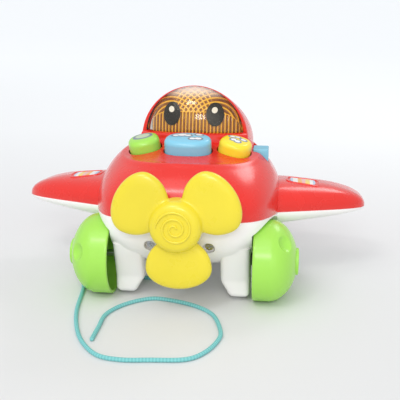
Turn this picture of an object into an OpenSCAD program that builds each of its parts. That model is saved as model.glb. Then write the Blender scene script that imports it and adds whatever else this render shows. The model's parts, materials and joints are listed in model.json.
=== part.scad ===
// Wheeled pull toy: a chunky toy aeroplane with a pull cord, push buttons and a light-up canopy.
// The nose points to -Y and the floor is z = 0. Lengths are in millimetres.

/* [Overall] */
// Wing span, tip to tip
span = 280; // [260:1:300]
// Length from the propeller's face to the tail fin's edge
length = 245; // [235:1:260]
// Height of the front of the fuselage's flat belly above the floor
belly_z = 22; // [20:1:25]
// Height of the parting plane over the middle of the toy
parting_z = 56.7; // [55:0.1:59]
// Rise of the parting plane towards the nose, per millimetre
parting_rise = 0.12; // [0.1:0.01:0.14]
// Wall thickness of the moulded shells
wall = 2.5; // [2:0.1:3]

/* [Fuselage] */
// Half of the fuselage's width
body_half_w = 72.5; // [70:0.5:75]
// Gap between the propeller's face and the front of the nose
nose_setback = 20; // [19.5:0.5:22]
// Length of the nose in front of the widest section
nose_len = 72; // [69:0.5:75]
// Share of the width that the nose loses at its front
nose_taper = 0.26; // [0.15:0.01:0.35]
// Gap between the fuselage's end and the tail fin's edge
tail_setback = 5; // [4:0.5:8]
// Height of the button deck over the middle of the toy
deck_z = 116; // [114:0.5:118]
// Rise of the button deck towards the tail, per millimetre
deck_rise = 0.14; // [0.12:0.01:0.16]
// Drop of the deck at its side creases
deck_crown = 7.5; // [5:0.5:8.5]
// Half of the width between the deck's side creases
crease_half_w = 54.5; // [52:0.5:56]
// Share of that width that the deck loses towards the tail
deck_narrow = 0.28; // [0.15:0.01:0.35]

/* [Wings] */
// Leading edge of a wing where it leaves the fuselage
wing_root_front = -56; // [-58:0.5:-52]
// Leading edge of a wing at its tip
wing_tip_front = -24; // [-28:0.5:-20]
// Trailing edge of a wing where it leaves the fuselage
wing_root_back = 30; // [26:0.5:34]
// Trailing edge of a wing at its tip
wing_tip_back = 22; // [18:0.5:26]
// Height of a wing's upper half at the root
wing_rise = 22; // [18:0.5:24]
// Share of that height left at the tip
wing_tip_rise = 0.7; // [0.5:0.05:0.9]
// Depth of a wing's lower half at the root
wing_drop = 14; // [11:0.5:16]
// Share of that depth left at the tip
wing_tip_drop = 0.35; // [0.25:0.05:0.6]
// Length of a wing label across the wing
label_w = 20; // [16:0.5:24]
// Width of a wing label along the fuselage
label_len = 15; // [12:0.5:18]
// Distance of a wing label's centre from the middle plane
label_x = 89; // [86:0.5:94]

/* [Canopy] */
// Front plane of the canopy hood
canopy_y = -9.5; // [-12:0.5:-8]
// Height of the centre of the round windshield
canopy_z = 112; // [111:0.5:113]
// Radius of the windshield's opening
lens_r = 40; // [38:0.5:41]
// Bulge of the windshield in front of the hood
lens_bulge = 16; // [14:0.5:18]
// Thickness of the windshield
lens_t = 2; // [1.6:0.1:2.4]
// Half of the hood's width at its base
hood_half_w = 43.5; // [42:0.5:46]
// Length of the hood along the fuselage
hood_len = 85; // [80:1:90]
// Height of the sill in front of the windshield's foot
sill_h = 5; // [3:0.5:6]
// Distance of each eye from the middle plane
eye_x = 17.4; // [15:0.1:19]
// Height of the eyes above the windshield's centre
eye_rise = 18.6; // [17:0.1:21]
// Half of an eye's width
eye_half_w = 7; // [6:0.1:7.5]
// Half of an eye's height
eye_half_h = 9; // [8:0.1:9.5]

/* [Buttons] */
// Width of the middle button
mid_button_w = 36; // [34:0.5:38]
// Depth of the middle button along the fuselage
mid_button_len = 26; // [24:0.5:27]
// Centre of the middle button along the fuselage
mid_button_y = -49.5; // [-51:0.5:-48]
// Width of a side button
side_button_w = 24.5; // [23:0.5:26]
// Depth of a side button along the fuselage
side_button_len = 25; // [23:0.5:26]
// Distance of a side button's centre from the middle plane
side_button_x = 35; // [34:0.5:36]
// Centre of the side buttons along the fuselage
side_button_y = -40.5; // [-42:0.5:-39]
// Height of the middle button above the deck
button_h = 10; // [8:0.5:11]
// Height of a side button above the deck
side_button_h = 9; // [7.5:0.5:10]
// Travel of a button
button_travel = 2.5; // [2:0.1:3]
// Gap between a button and the edge of its hole
button_gap = 0.8; // [0.5:0.05:1]
// Turn of the side buttons on the deck, in degrees
side_button_turn = 15; // [0:1:20]
// Depth of the switch board under the deck
board_depth = 14.5; // [14:0.1:16]

/* [Slide switch] */
// Width of the sliding knob
knob_w = 12; // [10:0.5:13]
// Length of the sliding knob along its track
knob_len = 14; // [12:0.5:16]
// Height of the knob's top above the deck's crease
knob_rise = 3; // [2:0.5:5]
// Front end of the knob at rest
knob_front = -32; // [-34:0.5:-30]
// Travel of the knob towards the tail
knob_travel = 10; // [8:0.5:12]

/* [Propeller] */
// Height of the propeller's axis
prop_z = 69; // [68:0.5:70]
// Radius from the axis to a blade's end
prop_r = 48.5; // [46:0.5:52]
// Radius at which a blade is widest
blade_mid_r = 33; // [31:0.5:35]
// Length of a blade from there towards the axis
blade_in_len = 24; // [22:0.5:25]
// Half of a blade's width
blade_half_w = 24; // [22:0.5:25]
// Thickness of a blade
blade_t = 10; // [8:0.5:11]
// Turn of the propeller at rest, clockwise seen from the pilot's seat
prop_turn = 2.5; // [0:0.5:10]
// Radius of the propeller's hub
hub_r = 19; // [17:0.5:20]
// Gap between the hub and the nose
hub_gap = 1.8; // [1.6:0.1:2.2]
// Radius of the propeller's steel shaft
shaft_r = 2; // [1.5:0.1:2.5]
// Outer radius of the shaft's bush
bush_r = 5; // [4.5:0.1:6]

/* [Front wheels] */
// Radius of a front wheel
wheel_r = 31; // [30:0.5:32]
// Width of a front wheel's flat tread
wheel_tread = 12; // [10:0.5:14]
// Width of the domed side outside the tread
wheel_dome = 21; // [19:0.5:23]
// Distance of a wheel's inner face from the middle plane
wheel_in = 53.5; // [53:0.5:55]
// Distance of the front axle behind the propeller's face
axle_setback = 49; // [48:0.5:50]
// Radius of the front axle
axle_r = 2.5; // [2:0.1:3]
// Radius of the round dimples in the domed side
dimple_r = 7; // [6:0.25:8]
// Number of dimples in a wheel
dimples = 3; // [3:1:5]
// Radius of a hub cap
cap_r = 10.3; // [10:0.1:12]
// Gap between a wheel and its well
well_gap = 2.5; // [2:0.1:3]

/* [Tail wheels] */
// Radius of a tail wheel
tail_wheel_r = 14; // [12:0.5:15]
// Width of a tail wheel
tail_wheel_w = 11; // [9:0.5:12]
// Distance of the tail axle in front of the tail fin's edge
tail_axle_setback = 50.5; // [48:0.5:54]
// Radius of the tail axle
tail_axle_r = 1.5; // [1.25:0.05:2]
// Half of the width of the strut between the tail wheels
strut_half_w = 12; // [11:0.5:14]

/* [Tail] */
// Height of the fin's top
fin_top_z = 128; // [124:1:130]
// Thickness of the fin
fin_t = 11; // [9:0.5:12]
// Half of the tailplane's span
tailplane_half = 45; // [42:0.5:46]
// Thickness of the tailplane
tailplane_t = 10; // [9:0.5:12]

/* [Batteries] */
// Radius of a cell
cell_r = 7.25; // [7:0.05:7.4]
// Length of a cell
cell_len = 50.5; // [49:0.5:51]
// Front edge of the battery door
door_front = -50; // [-50.5:0.1:-49.5]
// Length of the battery door
door_len = 58; // [57.5:0.5:60]
// Half of the battery door's width
door_half_w = 17; // [16.5:0.5:18]
// Radius of the speaker
speaker_r = 14; // [13:0.5:15]
// Place of the speaker along the fuselage
speaker_y = 44; // [42:1:46]

/* [Pull cord] */
// Diameter of the pull cord
cord_d = 3; // [2.5:0.1:3]
// Place where the cord leaves the belly
anchor_y = -56; // [-57:0.5:-55.5]

/* [Legs] */
// Inner edge of a leg at the floor end
leg_in = 34.5; // [33:0.5:36]
// Outer face of a leg
leg_out = 51.5; // [50:0.5:52.5]
// Depth of a leg at the floor end
leg_len = 22; // [20:0.5:24]
// Gap between a leg and the floor
leg_clear = 3; // [2.5:0.5:5]

/* [Fits] */
// Running clearance between a shaft and its bush
run_fit = 0.06; // [0.04:0.01:0.09]
// Clearance between parts that move past each other
gap = 0.4; // [0.35:0.05:0.6]

/* [Hidden] */

red = "#e8402f";
white = "#f0ece6";
yellow = "#fae03a";
green = "#a3e058";
blue = "#83c8e2";
amber = "#d9922a";
steel = "#b9bcc0";
board_green = "#2f6b46";
black = "#202124";
teal = "#6fc4c4";

front = -length / 2;
back = length / 2;
body_front = front + nose_setback;
body_mid = body_front + nose_len;
body_back = back - tail_setback;
tail_len = body_back - body_mid;
axle_y = front + axle_setback;
tail_axle_y = back - tail_axle_setback;
side = [-1, 1];

// Exponents of the rounded outlines: the nose's plan at the parting plane, at the deck and at the belly,
// the tail's plan, the shoulders and the belly
nose_n = 8;
deck_n = 2.6;
belly_n = 5;
tail_n = 2;
shoulder_m = 3;
belly_m = 2.5;
// Share of the plan's size at the deck's crease and at the belly's flat
crease_s = crease_half_w / body_half_w;
flat_s = 0.45;
// How much faster the plan shrinks along the fuselage than across it, up to the deck and down to the belly
deck_draw = 1.35;
belly_draw = 1.17;
// Where the deck starts to narrow towards the tail, and over which length
narrow_start = -35;
narrow_len = 25;
// Points round a shell's outline, and rings from its parting plane to its crease
around = 40;
side_rings = 6;
cap_rings = [0.75, 0.4];

// Buttons: outline, edge rounding, skirt, lip behind the deck, and stem
button_around = 24;
button_n = 2.7;
button_round = 4;
button_dome = 0.6;
button_wall = 1.8;
button_depth = 6;
button_lip = 1.6;
lip_drop = 1.1;
stem_r = 2;
dome_r = 4.5;
dome_h = button_travel + 1.5;
board_t = 1.6;
board_half_w = 44;
board_front = 18;
board_back = 24;
post_r = 2.5;
post_x = 21;
stem_end = board_depth - dome_h - gap;
side_stem_end = stem_end - deck_crown * pow(side_button_x / crease_half_w, 2) + stem_r * slope_x(side_button_x);

// Track of the slide switch, in its own axes: its pocket's floor runs down from the inner to the outer edge
track_in = crease_half_w - 6;
track_out = crease_half_w + 9.5;
track_slope = 0.757;
track_t = 2;
track_end = 1.6;
stem_x = crease_half_w - 1;
stem_w = 3.2;
stem_len = 6;
knob_in = crease_half_w - 5.5;
switch_z = -17;
switch_h = 8;
switch_in = 6.5;
switch_out = 4.5;

// Canopy: its half ellipsoid, its front rim, and the spheres of the windshield and its insert
hood_rings_n = 7;
hood_around = 28;
hood_drop = 4;
hood_rim = 4.5;
hood_bulge = 18;
hood_fall = 16;
hood_slope = 5;
hood_z = canopy_z - hood_drop;
hood_h = lens_r + hood_rim;
rim_t = 3;
sill_w = 4.5;
lens_sphere = (pow(lens_r, 2) + pow(lens_bulge, 2)) / (2 * lens_bulge);
lens_centre_y = canopy_y + lens_sphere - lens_bulge;
insert_gap = 1.5;
insert_t = 2;
insert_sphere = lens_sphere - lens_t - insert_gap;
eye_t = 0.8;
lamp_r = 4;
lamp_y = canopy_y + 6;
lamp_h = 9;

// Propeller: its blades, hub and shaft
blades = 3;
blade_mid_y = front + 11.5;
blade_around = 28;
hub_back = body_front - hub_gap;
hub_round = 5;
spiral_turns = 2.5;
spiral_r = 11.8;
spiral_start = 4;
spiral_w = 1.6;
spiral_h = 1;
flange_t = 1.2;
bush_len = 20;
clip_t = 1.5;
bracket_t = 2;

// Front wheels, legs and their bushes
cap_rise = 0.7;
wheel_wall = 2.5;
dimple_sphere = 9;
left_turn = 20;
right_turn = 50;
dome_end = 72;
hollow_end = 50;
wheel_flat = wheel_tread + wheel_dome * sin(dome_end);
cap_z = wheel_tread + wheel_dome + cap_rise;
tail_wheel_x = strut_half_w + 2 + tail_wheel_w / 2;
dimple_ring = 26;
boss_wall = 3;
bush_wall = 2;
bush_flange = 7;
leg_round = 4.5;
leg_flare = 5.5;
leg_chamfer = 9;
leg_top_z = 46;
leg_lean = 10;
well_in = leg_out + 1;
bush_in = leg_in - leg_flare;
bracket_half_w = bush_in - gap;

// Wings: exponents of their plan and section, inner end, and rings
wing_n = 4.5;
wing_m = 2.5;
wing_in = 40;
wing_around = 28;
wing_turns = [0, 16, 34, 52, 68, 82];
wing_root_x = body_half_w - 2.5;
label_y = -18;
label_t = 0.8;
label_n = 6;
label_sink = 0.5;

// Screws and their bosses: the shell's, then the nose's
screw_r = 1.5;
screw_head_r = 3;
screw_head_t = 2.2;
screw_hole = 0.3;
boss_r = 5.5;
bosses = [[36, 16], [20, tail_axle_y]];
screw_sink = 13;
screw_bite = 12;
nose_screw_x = 21.6;
nose_screw_z = 47.5;
nose_hole_r = 4.6;
nose_sink = 11;
nose_floor = body_front + nose_sink;
bracket_front = hub_back + bush_len;

// Battery box, boards and speaker
box_wall = 1.6;
door_t = 2.1;
tab_half_w = 6;
tab_len = 9;
tab_t = 1.4;
tab_head_t = 0.7;
tab_sink = 0.1;
contact_half_w = 13;
contact_half_h = 5;
contact_t = 0.5;
cell_z = belly_z + door_t + 0.1 + cell_r;
box_top_z = cell_z + cell_r + 2;
main_board_z = box_top_z + 4;
main_half_w = 27;
main_back = 40;
door_back = door_front + door_len;
door_screw_y = door_back + 5;
door_boss_r = 3.2;
door_mid_y = door_front + door_len / 2;
cell_x = cell_r + 0.2;
speaker_seat_z = 33;
speaker_t = 8;
grille_r = 1.6;
grille_ring = 7;
grille_holes = 6;

// Tail
fin_len = 46.5;
fin_top_len = 22;
fin_round = 8;
fin_round_drop = 4;
fin_back_drop = 24;
fin_foot = 12;
fin_foot_gap = 2;
fin_front = back - fin_len;
tailplane_z = 76;
tailplane_root = 10;
tailplane_round = 3;
tailplane_front = 44.5;
tailplane_tip_front = 30.5;
tailplane_tip_back = 14.5;
tailplane_back = 10.5;

// Cord anchor
anchor_r = 4;
anchor_flange = 5.6;
anchor_rim = 1.2;

// Route of the pull cord's centre: out of the belly, round the left wheel and over the floor in a loop
floor_z = cord_d / 2;
cord_route = [
    [0, anchor_y, belly_z - anchor_rim], [0, anchor_y, 14], [-3, -55.5, 6], [-12, -53.5, floor_z],
    [-25, -51, floor_z], [-42, -50, floor_z], [-60, -49.5, floor_z], [-75, -52, floor_z],
    [-82, -60, floor_z], [-81, -70, floor_z], [-78.5, -81, floor_z], [-73.5, -116.5, floor_z],
    [-65.5, -144.5, floor_z], [-55.5, -165, floor_z], [-42, -180, floor_z], [-26, -184, floor_z],
    [-7, -182, floor_z], [15.5, -178.5, floor_z], [27, -167.5, floor_z], [34, -149.5, floor_z],
    [34, -135, floor_z], [26.5, -112, floor_z], [12, -98.5, floor_z], [-8.5, -90.5, floor_z],
    [-24, -90, floor_z], [-40.5, -102, floor_z], [-50.5, -120, floor_z], [-51, -141, floor_z],
    [-51, -160.5, floor_z]];
cord_sides = 8;
cord_step = 8;

// Height of the parting plane
function parting(y) = parting_z - parting_rise * y;
// Curve of the fuselage's spine and of its belly towards the tail
spine_start = canopy_y - 1;
spine_curve = 0.012;
spine_bend = 20;
belly_start = 30;
belly_curve = 0.0015;
function square_past(y, from) = pow(max(0, y - from), 2);
// The spine bends down over a short length and then falls in a straight line
function spine(y) =
    let (v = max(0, y - spine_start), w = min(v, spine_bend))
    deck_z + deck_rise * y - spine_curve * w * (2 * v - w);
function deck(x, y) = spine(y) - deck_crown * pow(x / crease_half_w, 2);
function belly(y) = belly_z + belly_curve * square_past(y, belly_start);
function slope_x(x) = -2 * deck_crown * x / pow(crease_half_w, 2);

function power(v, e) = sign(v) * pow(abs(v), e);

// A flat outline between an ellipse and a rectangle, of the given width and length
function outline(w, len, n, count) = [
    for (i = [0 : count - 1])
        let (a = 360 * i / count)
        [w / 2 * power(cos(a), 2 / n), len / 2 * power(sin(a), 2 / n)]];

// One point of a unit outline between a circle and a square, with the points spread round its corners
function round_square(angle, n) =
    let (c = power(cos(angle), sqrt(2 / n)), s = power(sin(angle), sqrt(2 / n)),
         r = pow(pow(abs(c), n) + pow(abs(s), n), -1 / n))
    [r * c, r * s];

// One point of the fuselage's plan, shrunk by s across and along, with its skin moved in by t. Its nose
// goes from one outline at the parting plane to another at the deck or belly, and its deck may narrow.
function plan(angle, s, t, far_n, draw, narrow) =
    let (k = min(1, (1 - s) / (1 - crease_s)), nose = sin(angle) < 0,
         p = round_square(angle, nose ? nose_n + (far_n - nose_n) * k : tail_n),
         y = body_mid + ((nose ? nose_len : tail_len) - t) * pow(s, draw) * p[1],
         v = square_past(y, narrow_start))
    [(body_half_w - t) * s * p[0] * (nose ? 1 - nose_taper * p[1] * p[1] : 1)
        * (1 - narrow * k * v / (v + narrow_len * narrow_len)), y];
function upper_plan(angle, s, t) = plan(angle, s, t, deck_n, deck_draw, deck_narrow);
function lower_plan(angle, s, t) = plan(angle, s, t, belly_n, belly_draw, 0);

// Rings of the upper shell's skin, from the parting plane up over the shoulders and across the deck
function upper_rings(t) =
    let (last = acos(pow(crease_s, shoulder_m / 2)))
    concat(
        [for (k = [0 : side_rings])
            let (turn = last * k / side_rings, s = pow(cos(turn), 2 / shoulder_m),
                 u = pow(sin(turn) / sin(last), 2 / shoulder_m))
            [for (i = [0 : around - 1])
                let (p = upper_plan(360 * i / around, s, t), foot = parting(p[1]))
                [p[0], p[1], foot + (deck(p[0], p[1]) - t - foot) * u]]],
        [for (c = cap_rings)
            [for (i = [0 : around - 1])
                let (p = upper_plan(360 * i / around, crease_s * c, t))
                [p[0], p[1], deck(p[0], p[1]) - t]]]);

// Rings of the lower shell's skin, from the parting plane down round the belly
function lower_rings(t) =
    let (last = acos(pow(flat_s, belly_m / 2)))
    [for (k = [0 : side_rings])
        let (turn = last * k / side_rings, s = pow(cos(turn), 2 / belly_m),
             v = pow(sin(turn) / sin(last), 2 / belly_m))
        [for (i = [0 : around - 1])
            let (p = lower_plan(360 * i / around, s, t), top = parting(p[1]))
            [p[0], p[1], top - (top - t - belly(p[1])) * v]]];

function average(ring) = [for (k = [0 : 2]) [for (p = ring) p[k]] * [for (p = ring) 1] / len(ring)];

// Faces between two rings of n points that start at points a and b
function band(n, a, b) = [
    for (i = [0 : n - 1])
        let (j = (i + 1) % n)
        each [[a + i, b + i, b + j], [a + i, b + j, a + j]]];
// Faces of a fan from ring a to its hub point h
function fan(n, a, h) = [for (i = [0 : n - 1]) [a + i, h, a + (i + 1) % n]];
function flipped(faces) = [for (f = faces) [f[2], f[1], f[0]]];

// A closed solid through a stack of rings that turn anticlockwise seen from the last one
module skin(rings) {
    n = len(rings[0]);
    m = len(rings);
    points = concat([for (r = rings) each r], [average(rings[0]), average(rings[m - 1])]);
    polyhedron(points, concat(
        [for (k = [0 : m - 2]) each band(n, k * n, (k + 1) * n)],
        flipped(fan(n, 0, n * m)),
        fan(n, (m - 1) * n, n * m + 1)));
}

// A shell between an outer and an inner stack of rings that share the plane of their first rings
module bowl(outer, inner) {
    n = len(outer[0]);
    m = len(outer);
    q = len(inner);
    points = concat(
        [for (r = outer) each r], [average(outer[m - 1])],
        [for (r = inner) each r], [average(inner[q - 1])]);
    base = n * m + 1;
    polyhedron(points, concat(
        [for (k = [0 : m - 2]) each band(n, k * n, (k + 1) * n)],
        fan(n, (m - 1) * n, n * m),
        flipped([for (k = [0 : q - 2]) each band(n, base + k * n, base + (k + 1) * n)]),
        flipped(fan(n, base + (q - 1) * n, base + n * q)),
        flipped(band(n, 0, base))));
}

function lifted(ring, dz) = [for (p = ring) [p[0], p[1], p[2] + dz]];
function mirrored(rings) = [for (r = rings) [for (i = [len(r) - 1 : -1 : 0]) [r[i][0], r[i][1], r[i][2]]]];

// The upper half of the fuselage as a solid, used to trim what seats on it, and carried on past
// its parting plane by the given depth
module upper_solid(past = 0) {
    rings = upper_rings(0);
    skin(past > 0 ? concat([lifted(rings[0], -past)], rings) : rings);
}

// The lower half of the fuselage as a solid, used the same way
module lower_solid(past = 0) {
    lower = lower_rings(0);
    rings = [for (k = [side_rings : -1 : 0]) lower[k]];
    skin(past > 0 ? concat(rings, [lifted(lower[0], past)]) : rings);
}

// A cylinder along X from x0 to x1 at the given place along and above the toy
module along_x(r, x0, x1, y, z) {
    translate([x0, y, z]) rotate([0, 90, 0]) cylinder(r = r, h = x1 - x0);
}

// A cylinder along Y from y0 to y1 at the given place across and above the toy
module along_y(r, y0, y1, x, z) {
    translate([x, y0, z]) rotate([-90, 0, 0]) cylinder(r = r, h = y1 - y0);
}

// A cylinder along Z from z0 to z1
module along_z(r, z0, z1, x, y) {
    translate([x, y, z0]) cylinder(r = r, h = z1 - z0);
}

// A block between two corners
module block(low, high) {
    translate(low) cube(high - low);
}

// Axes of a button: z leaves the deck square to its surface
module on_deck(x, y) {
    n = [-slope_x(x), -deck_rise, 1];
    up = n / norm(n);
    translate([x, y, deck(x, y)]) rotate([asin(-up[1]), atan2(up[0], up[2]), 0]) children();
}
module on_side_button(s) {
    on_deck(s * side_button_x, side_button_y) rotate([0, 0, -s * side_button_turn]) children();
}
function button_outline(w, len, grow) = outline(w + 2 * grow, len + 2 * grow, button_n, button_around);
function button_ring(w, len, grow, z) = [for (p = button_outline(w, len, grow)) [p[0], p[1], z]];

// A prism through the deck, a little larger than a button
module button_hole(w, len) {
    translate([0, 0, -2 * button_depth]) linear_extrude(4 * button_depth)
        polygon(button_outline(w, len, button_gap));
}

// Room behind the deck for the lip of a button
module lip_room(w, len) {
    translate([0, 0, -2 * button_depth]) linear_extrude(2 * button_depth - wall - lip_drop + gap)
        polygon(button_outline(w, len, button_lip + gap));
}

// A push button's cap with its skirt, its lip behind the deck and its stem
module button(w, len, h, stem) {
    lip_z = -wall - lip_drop;
    edge = [for (a = [0 : 30 : 90]) [button_round * (1 - cos(a)), h - button_round * (1 - sin(a))]];
    outer = concat(
        [button_ring(w, len, button_lip, -button_depth), button_ring(w, len, button_lip, lip_z),
         button_ring(w, len, 0, lip_z)],
        [for (e = edge) button_ring(w, len, -e[0], e[1])],
        [button_ring(w, len, -len / 3, h + button_dome)]);
    inner = [
        button_ring(w, len, -button_wall, -button_depth),
        button_ring(w, len, -button_wall, h - button_round),
        button_ring(w, len, -button_wall - button_round, h - button_wall)];
    union() {
        bowl(outer, inner);
        along_z(stem_r, -stem, h - button_wall / 2, 0, 0);
    }
}

module green_button() {
    color(green) on_side_button(-1) button(side_button_w, side_button_len, side_button_h, side_stem_end);
}

module blue_button() {
    color(blue) on_deck(0, mid_button_y) button(mid_button_w, mid_button_len, button_h, stem_end);
}

module yellow_button() {
    color(yellow) on_side_button(1) button(side_button_w, side_button_len, side_button_h, side_stem_end);
}

// The switch board lies flat under the deck, in the middle button's axes
module on_board() {
    on_deck(0, mid_button_y) translate([0, 0, -board_depth]) children();
}
post_places = [for (s = side, y = [3 - board_front, board_back - 3]) [s * post_x, y]];

module button_board() {
    color(board_green) on_board()
        block([-board_half_w, -board_front, -board_t], [board_half_w, board_back, 0]);
}

// Where a side button's stem comes down on the board
function stem_foot() =
    let (n = [-slope_x(side_button_x), -deck_rise, 1], up = n / norm(n),
         foot = [side_button_x, side_button_y, deck(side_button_x, side_button_y)] - side_stem_end * up
             - [0, mid_button_y, deck(0, mid_button_y)],
         a = atan(deck_rise))
    [foot[0], foot[1] * cos(a) + foot[2] * sin(a)];

// A hollow rubber dome
module switch_dome() {
    difference() {
        cylinder(r1 = dome_r, r2 = stem_r + 0.5, h = dome_h);
        translate([0, 0, -1]) cylinder(r1 = dome_r, r2 = stem_r - 0.5, h = dome_h);
    }
}

module green_switch_dome() {
    color("gainsboro") on_board() translate([-stem_foot()[0], stem_foot()[1], 0]) switch_dome();
}

module blue_switch_dome() {
    color("gainsboro") on_board() switch_dome();
}

module yellow_switch_dome() {
    color("gainsboro") on_board() translate([stem_foot()[0], stem_foot()[1], 0]) switch_dome();
}

// Axes of the slide switch: y runs along its track, and z = 0 is the deck's crease in front of the knob
module on_track() {
    translate([0, knob_front, deck(crease_half_w, knob_front)]) children();
}
function track_floor(x) = -track_slope * (x - track_in);

// A prism along the track between two lines that run with its floor, shifted down by a and by b
module track_prism(a, b, y0, y1) {
    translate([0, y1, 0]) rotate([90, 0, 0]) linear_extrude(y1 - y0) polygon([
        [track_in, track_floor(track_in) - a], [track_out, track_floor(track_out) - a],
        [track_out, track_floor(track_out) - b], [track_in, track_floor(track_in) - b]]);
}

module slider_knob() {
    color(blue) on_track() union() {
        translate([0, knob_len, 0]) rotate([90, 0, 0]) linear_extrude(knob_len) polygon([
            [knob_in, track_floor(knob_in) + gap], [knob_in + knob_w, track_floor(knob_in + knob_w) + gap],
            [knob_in + knob_w, knob_rise - 1], [knob_in + knob_w - 1, knob_rise], [knob_in, knob_rise]]);
        block([stem_x - stem_w / 2, (knob_len - stem_len) / 2, switch_z + gap],
              [stem_x + stem_w / 2, (knob_len + stem_len) / 2, 0]);
    }
}

module slide_switch() {
    slot_half = stem_w / 2 + gap;
    color("dimgray") on_track() difference() {
        block([stem_x - switch_in, -track_end, switch_z - switch_h],
              [stem_x + switch_out, knob_len + knob_travel + track_end, switch_z + 2]);
        block([stem_x - slot_half, (knob_len - stem_len) / 2 - gap, switch_z],
              [stem_x + slot_half, (knob_len + stem_len) / 2 + knob_travel + gap, switch_z + 3]);
    }
}

module upper_shell() {
    color(red) difference() {
        union() {
            bowl(upper_rings(0), upper_rings(wall));
            windshield_sill();
            intersection() {
                upper_solid();
                union() {
                    on_track() {
                        track_prism(0, track_t, -track_end, knob_len + knob_travel + track_end);
                        for (y = [-track_end, knob_len + knob_travel + track_end - 2])
                            block([stem_x - 2.5, y, switch_z + 2], [stem_x + 5, y + 2, 0]);
                    }
                    on_board() for (p = post_places) along_z(post_r, 0, board_depth, p[0], p[1]);
                    for (s = side, b = bosses)
                        along_z(boss_r, parting(b[1]) + boss_r * parting_rise + gap, deck_z, s * b[0], b[1]);
                }
            }
        }
        on_deck(0, mid_button_y) button_hole(mid_button_w, mid_button_len);
        for (s = side) on_side_button(s) {
            button_hole(side_button_w, side_button_len);
            lip_room(side_button_w, side_button_len);
        }
        on_track() {
            track_prism(-2 * knob_w, 0, 1 - track_end, knob_len + knob_travel + track_end - 1);
            block([stem_x - stem_w / 2 - gap, (knob_len - stem_len) / 2 - gap, switch_z + 2],
                  [stem_x + stem_w / 2 + gap, (knob_len + stem_len) / 2 + knob_travel + gap, 0]);
        }
        along_y(bush_r, body_front - wall, body_front + 3 * wall, 0, prop_z);
        for (s = side, b = bosses)
            along_z(screw_r, parting(b[1]) - wall, parting(b[1]) + screw_bite, s * b[0], b[1]);
        on_deck(0, lamp_y) along_z(lamp_r - 1, -2 * wall, wall, 0, 0);
    }
}

// A leg beside a front wheel, from the belly to just over the floor
module leg() {
    r = leg_round;
    foot_front = axle_y - leg_len / 2;
    foot_back = axle_y + leg_len / 2;
    hull() {
        for (x = [leg_in + r, leg_out - r], y = [foot_front + r, foot_back - r])
            translate([x, y, leg_clear + r]) sphere(r, $fn = 20);
        for (x = [leg_in - leg_flare + r, leg_out - r], y = [foot_front + r, foot_back - r])
            translate([x, y, leg_clear + leg_chamfer + r]) sphere(r, $fn = 20);
        for (x = [leg_in - leg_flare + r, leg_out - r], y = [foot_front - leg_lean + r, foot_back - r])
            translate([x, y, leg_top_z]) sphere(r, $fn = 20);
    }
}

// The strut that carries the tail axle
module tail_strut() {
    r = tail_axle_r + boss_wall;
    hull() {
        along_x(r, -strut_half_w, strut_half_w, tail_axle_y, tail_wheel_r);
        block([-strut_half_w, tail_axle_y - 2 * r, belly(tail_axle_y)],
              [strut_half_w, tail_axle_y + 2 * r, belly(tail_axle_y) + 3 * wall]);
    }
}

module lower_shell() {
    well_r = wheel_r + well_gap;
    color(white) difference() {
        union() {
            bowl(mirrored(lower_rings(0)), mirrored(lower_rings(wall)));
            intersection() {
                lower_solid();
                union() {
                    for (s = side) {
                        mirror([s > 0 ? 0 : 1, 0, 0])
                            along_x(well_r + wall, well_in - 1.4 * wall, body_half_w, axle_y, wheel_r);
                        along_y(nose_hole_r + wall, body_front, bracket_front, s * nose_screw_x, nose_screw_z);
                        for (b = bosses)
                            along_z(boss_r, belly_z, parting(b[1]) - boss_r * parting_rise, s * b[0], b[1]);
                    }
                    difference() {
                        along_z(speaker_r + 1, belly_z, speaker_seat_z, 0, speaker_y);
                        along_z(speaker_r - 1.5, belly_z - 1, speaker_seat_z + 1, 0, speaker_y);
                    }
                    for (s = side, y = [door_front + 7, main_back - 3])
                        along_z(post_r, belly_z, main_board_z, s * (main_half_w - 3), y);
                    along_z(anchor_flange, belly_z, belly_z + 2 * wall, 0, anchor_y);
                    along_z(door_boss_r, belly_z, cell_z, 0, door_screw_y);
                }
            }
            for (s = side) mirror([s > 0 ? 0 : 1, 0, 0]) leg();
            tail_strut();
        }
        for (s = side) {
            mirror([s > 0 ? 0 : 1, 0, 0]) {
                along_x(well_r, well_in, body_half_w + wall, axle_y, wheel_r);
                along_x(axle_r + bush_wall, bush_in - leg_flare, well_in + 1, axle_y, wheel_r);
            }
            along_y(nose_hole_r, body_front - 1, nose_floor, s * nose_screw_x, nose_screw_z);
            along_y(screw_r + screw_hole, nose_floor - 1, bracket_front + 1, s * nose_screw_x, nose_screw_z);
            for (b = bosses) {
                along_z(screw_head_r + screw_hole, belly_z - wall, belly_z + screw_sink, s * b[0], b[1]);
                along_z(screw_r + screw_hole, belly_z, parting(b[1]) + 1, s * b[0], b[1]);
            }
        }
        along_x(axle_r + gap, -leg_in, leg_in, axle_y, wheel_r);
        along_x(tail_axle_r + run_fit, -strut_half_w - 1, strut_half_w + 1, tail_axle_y, tail_wheel_r);
        along_y(bush_r, body_front - wall, body_front + 3 * wall, 0, prop_z);
        block([-door_half_w - gap, door_front - gap, belly_z - 1],
              [door_half_w + gap, door_back + gap, belly_z + 2 * wall]);
        block([-tab_half_w - gap, door_back, belly_z - 1],
              [tab_half_w + gap, door_back + tab_len + gap, belly_z + tab_t + 0.1]);
        along_z(screw_r, belly_z, cell_z - 2, 0, door_screw_y);
        along_z(anchor_r, belly_z - 1, belly_z + 3 * wall, 0, anchor_y);
        block([-anchor_flange, door_front - box_wall, belly_z + wall],
              [anchor_flange, door_front, belly_z + 3 * wall]);
        for (i = [0 : grille_holes])
            let (a = 360 * i / grille_holes, reach = i == grille_holes ? 0 : grille_ring)
            along_z(grille_r, belly_z - 1, speaker_seat_z, reach * cos(a), speaker_y + reach * sin(a));
    }
}

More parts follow.
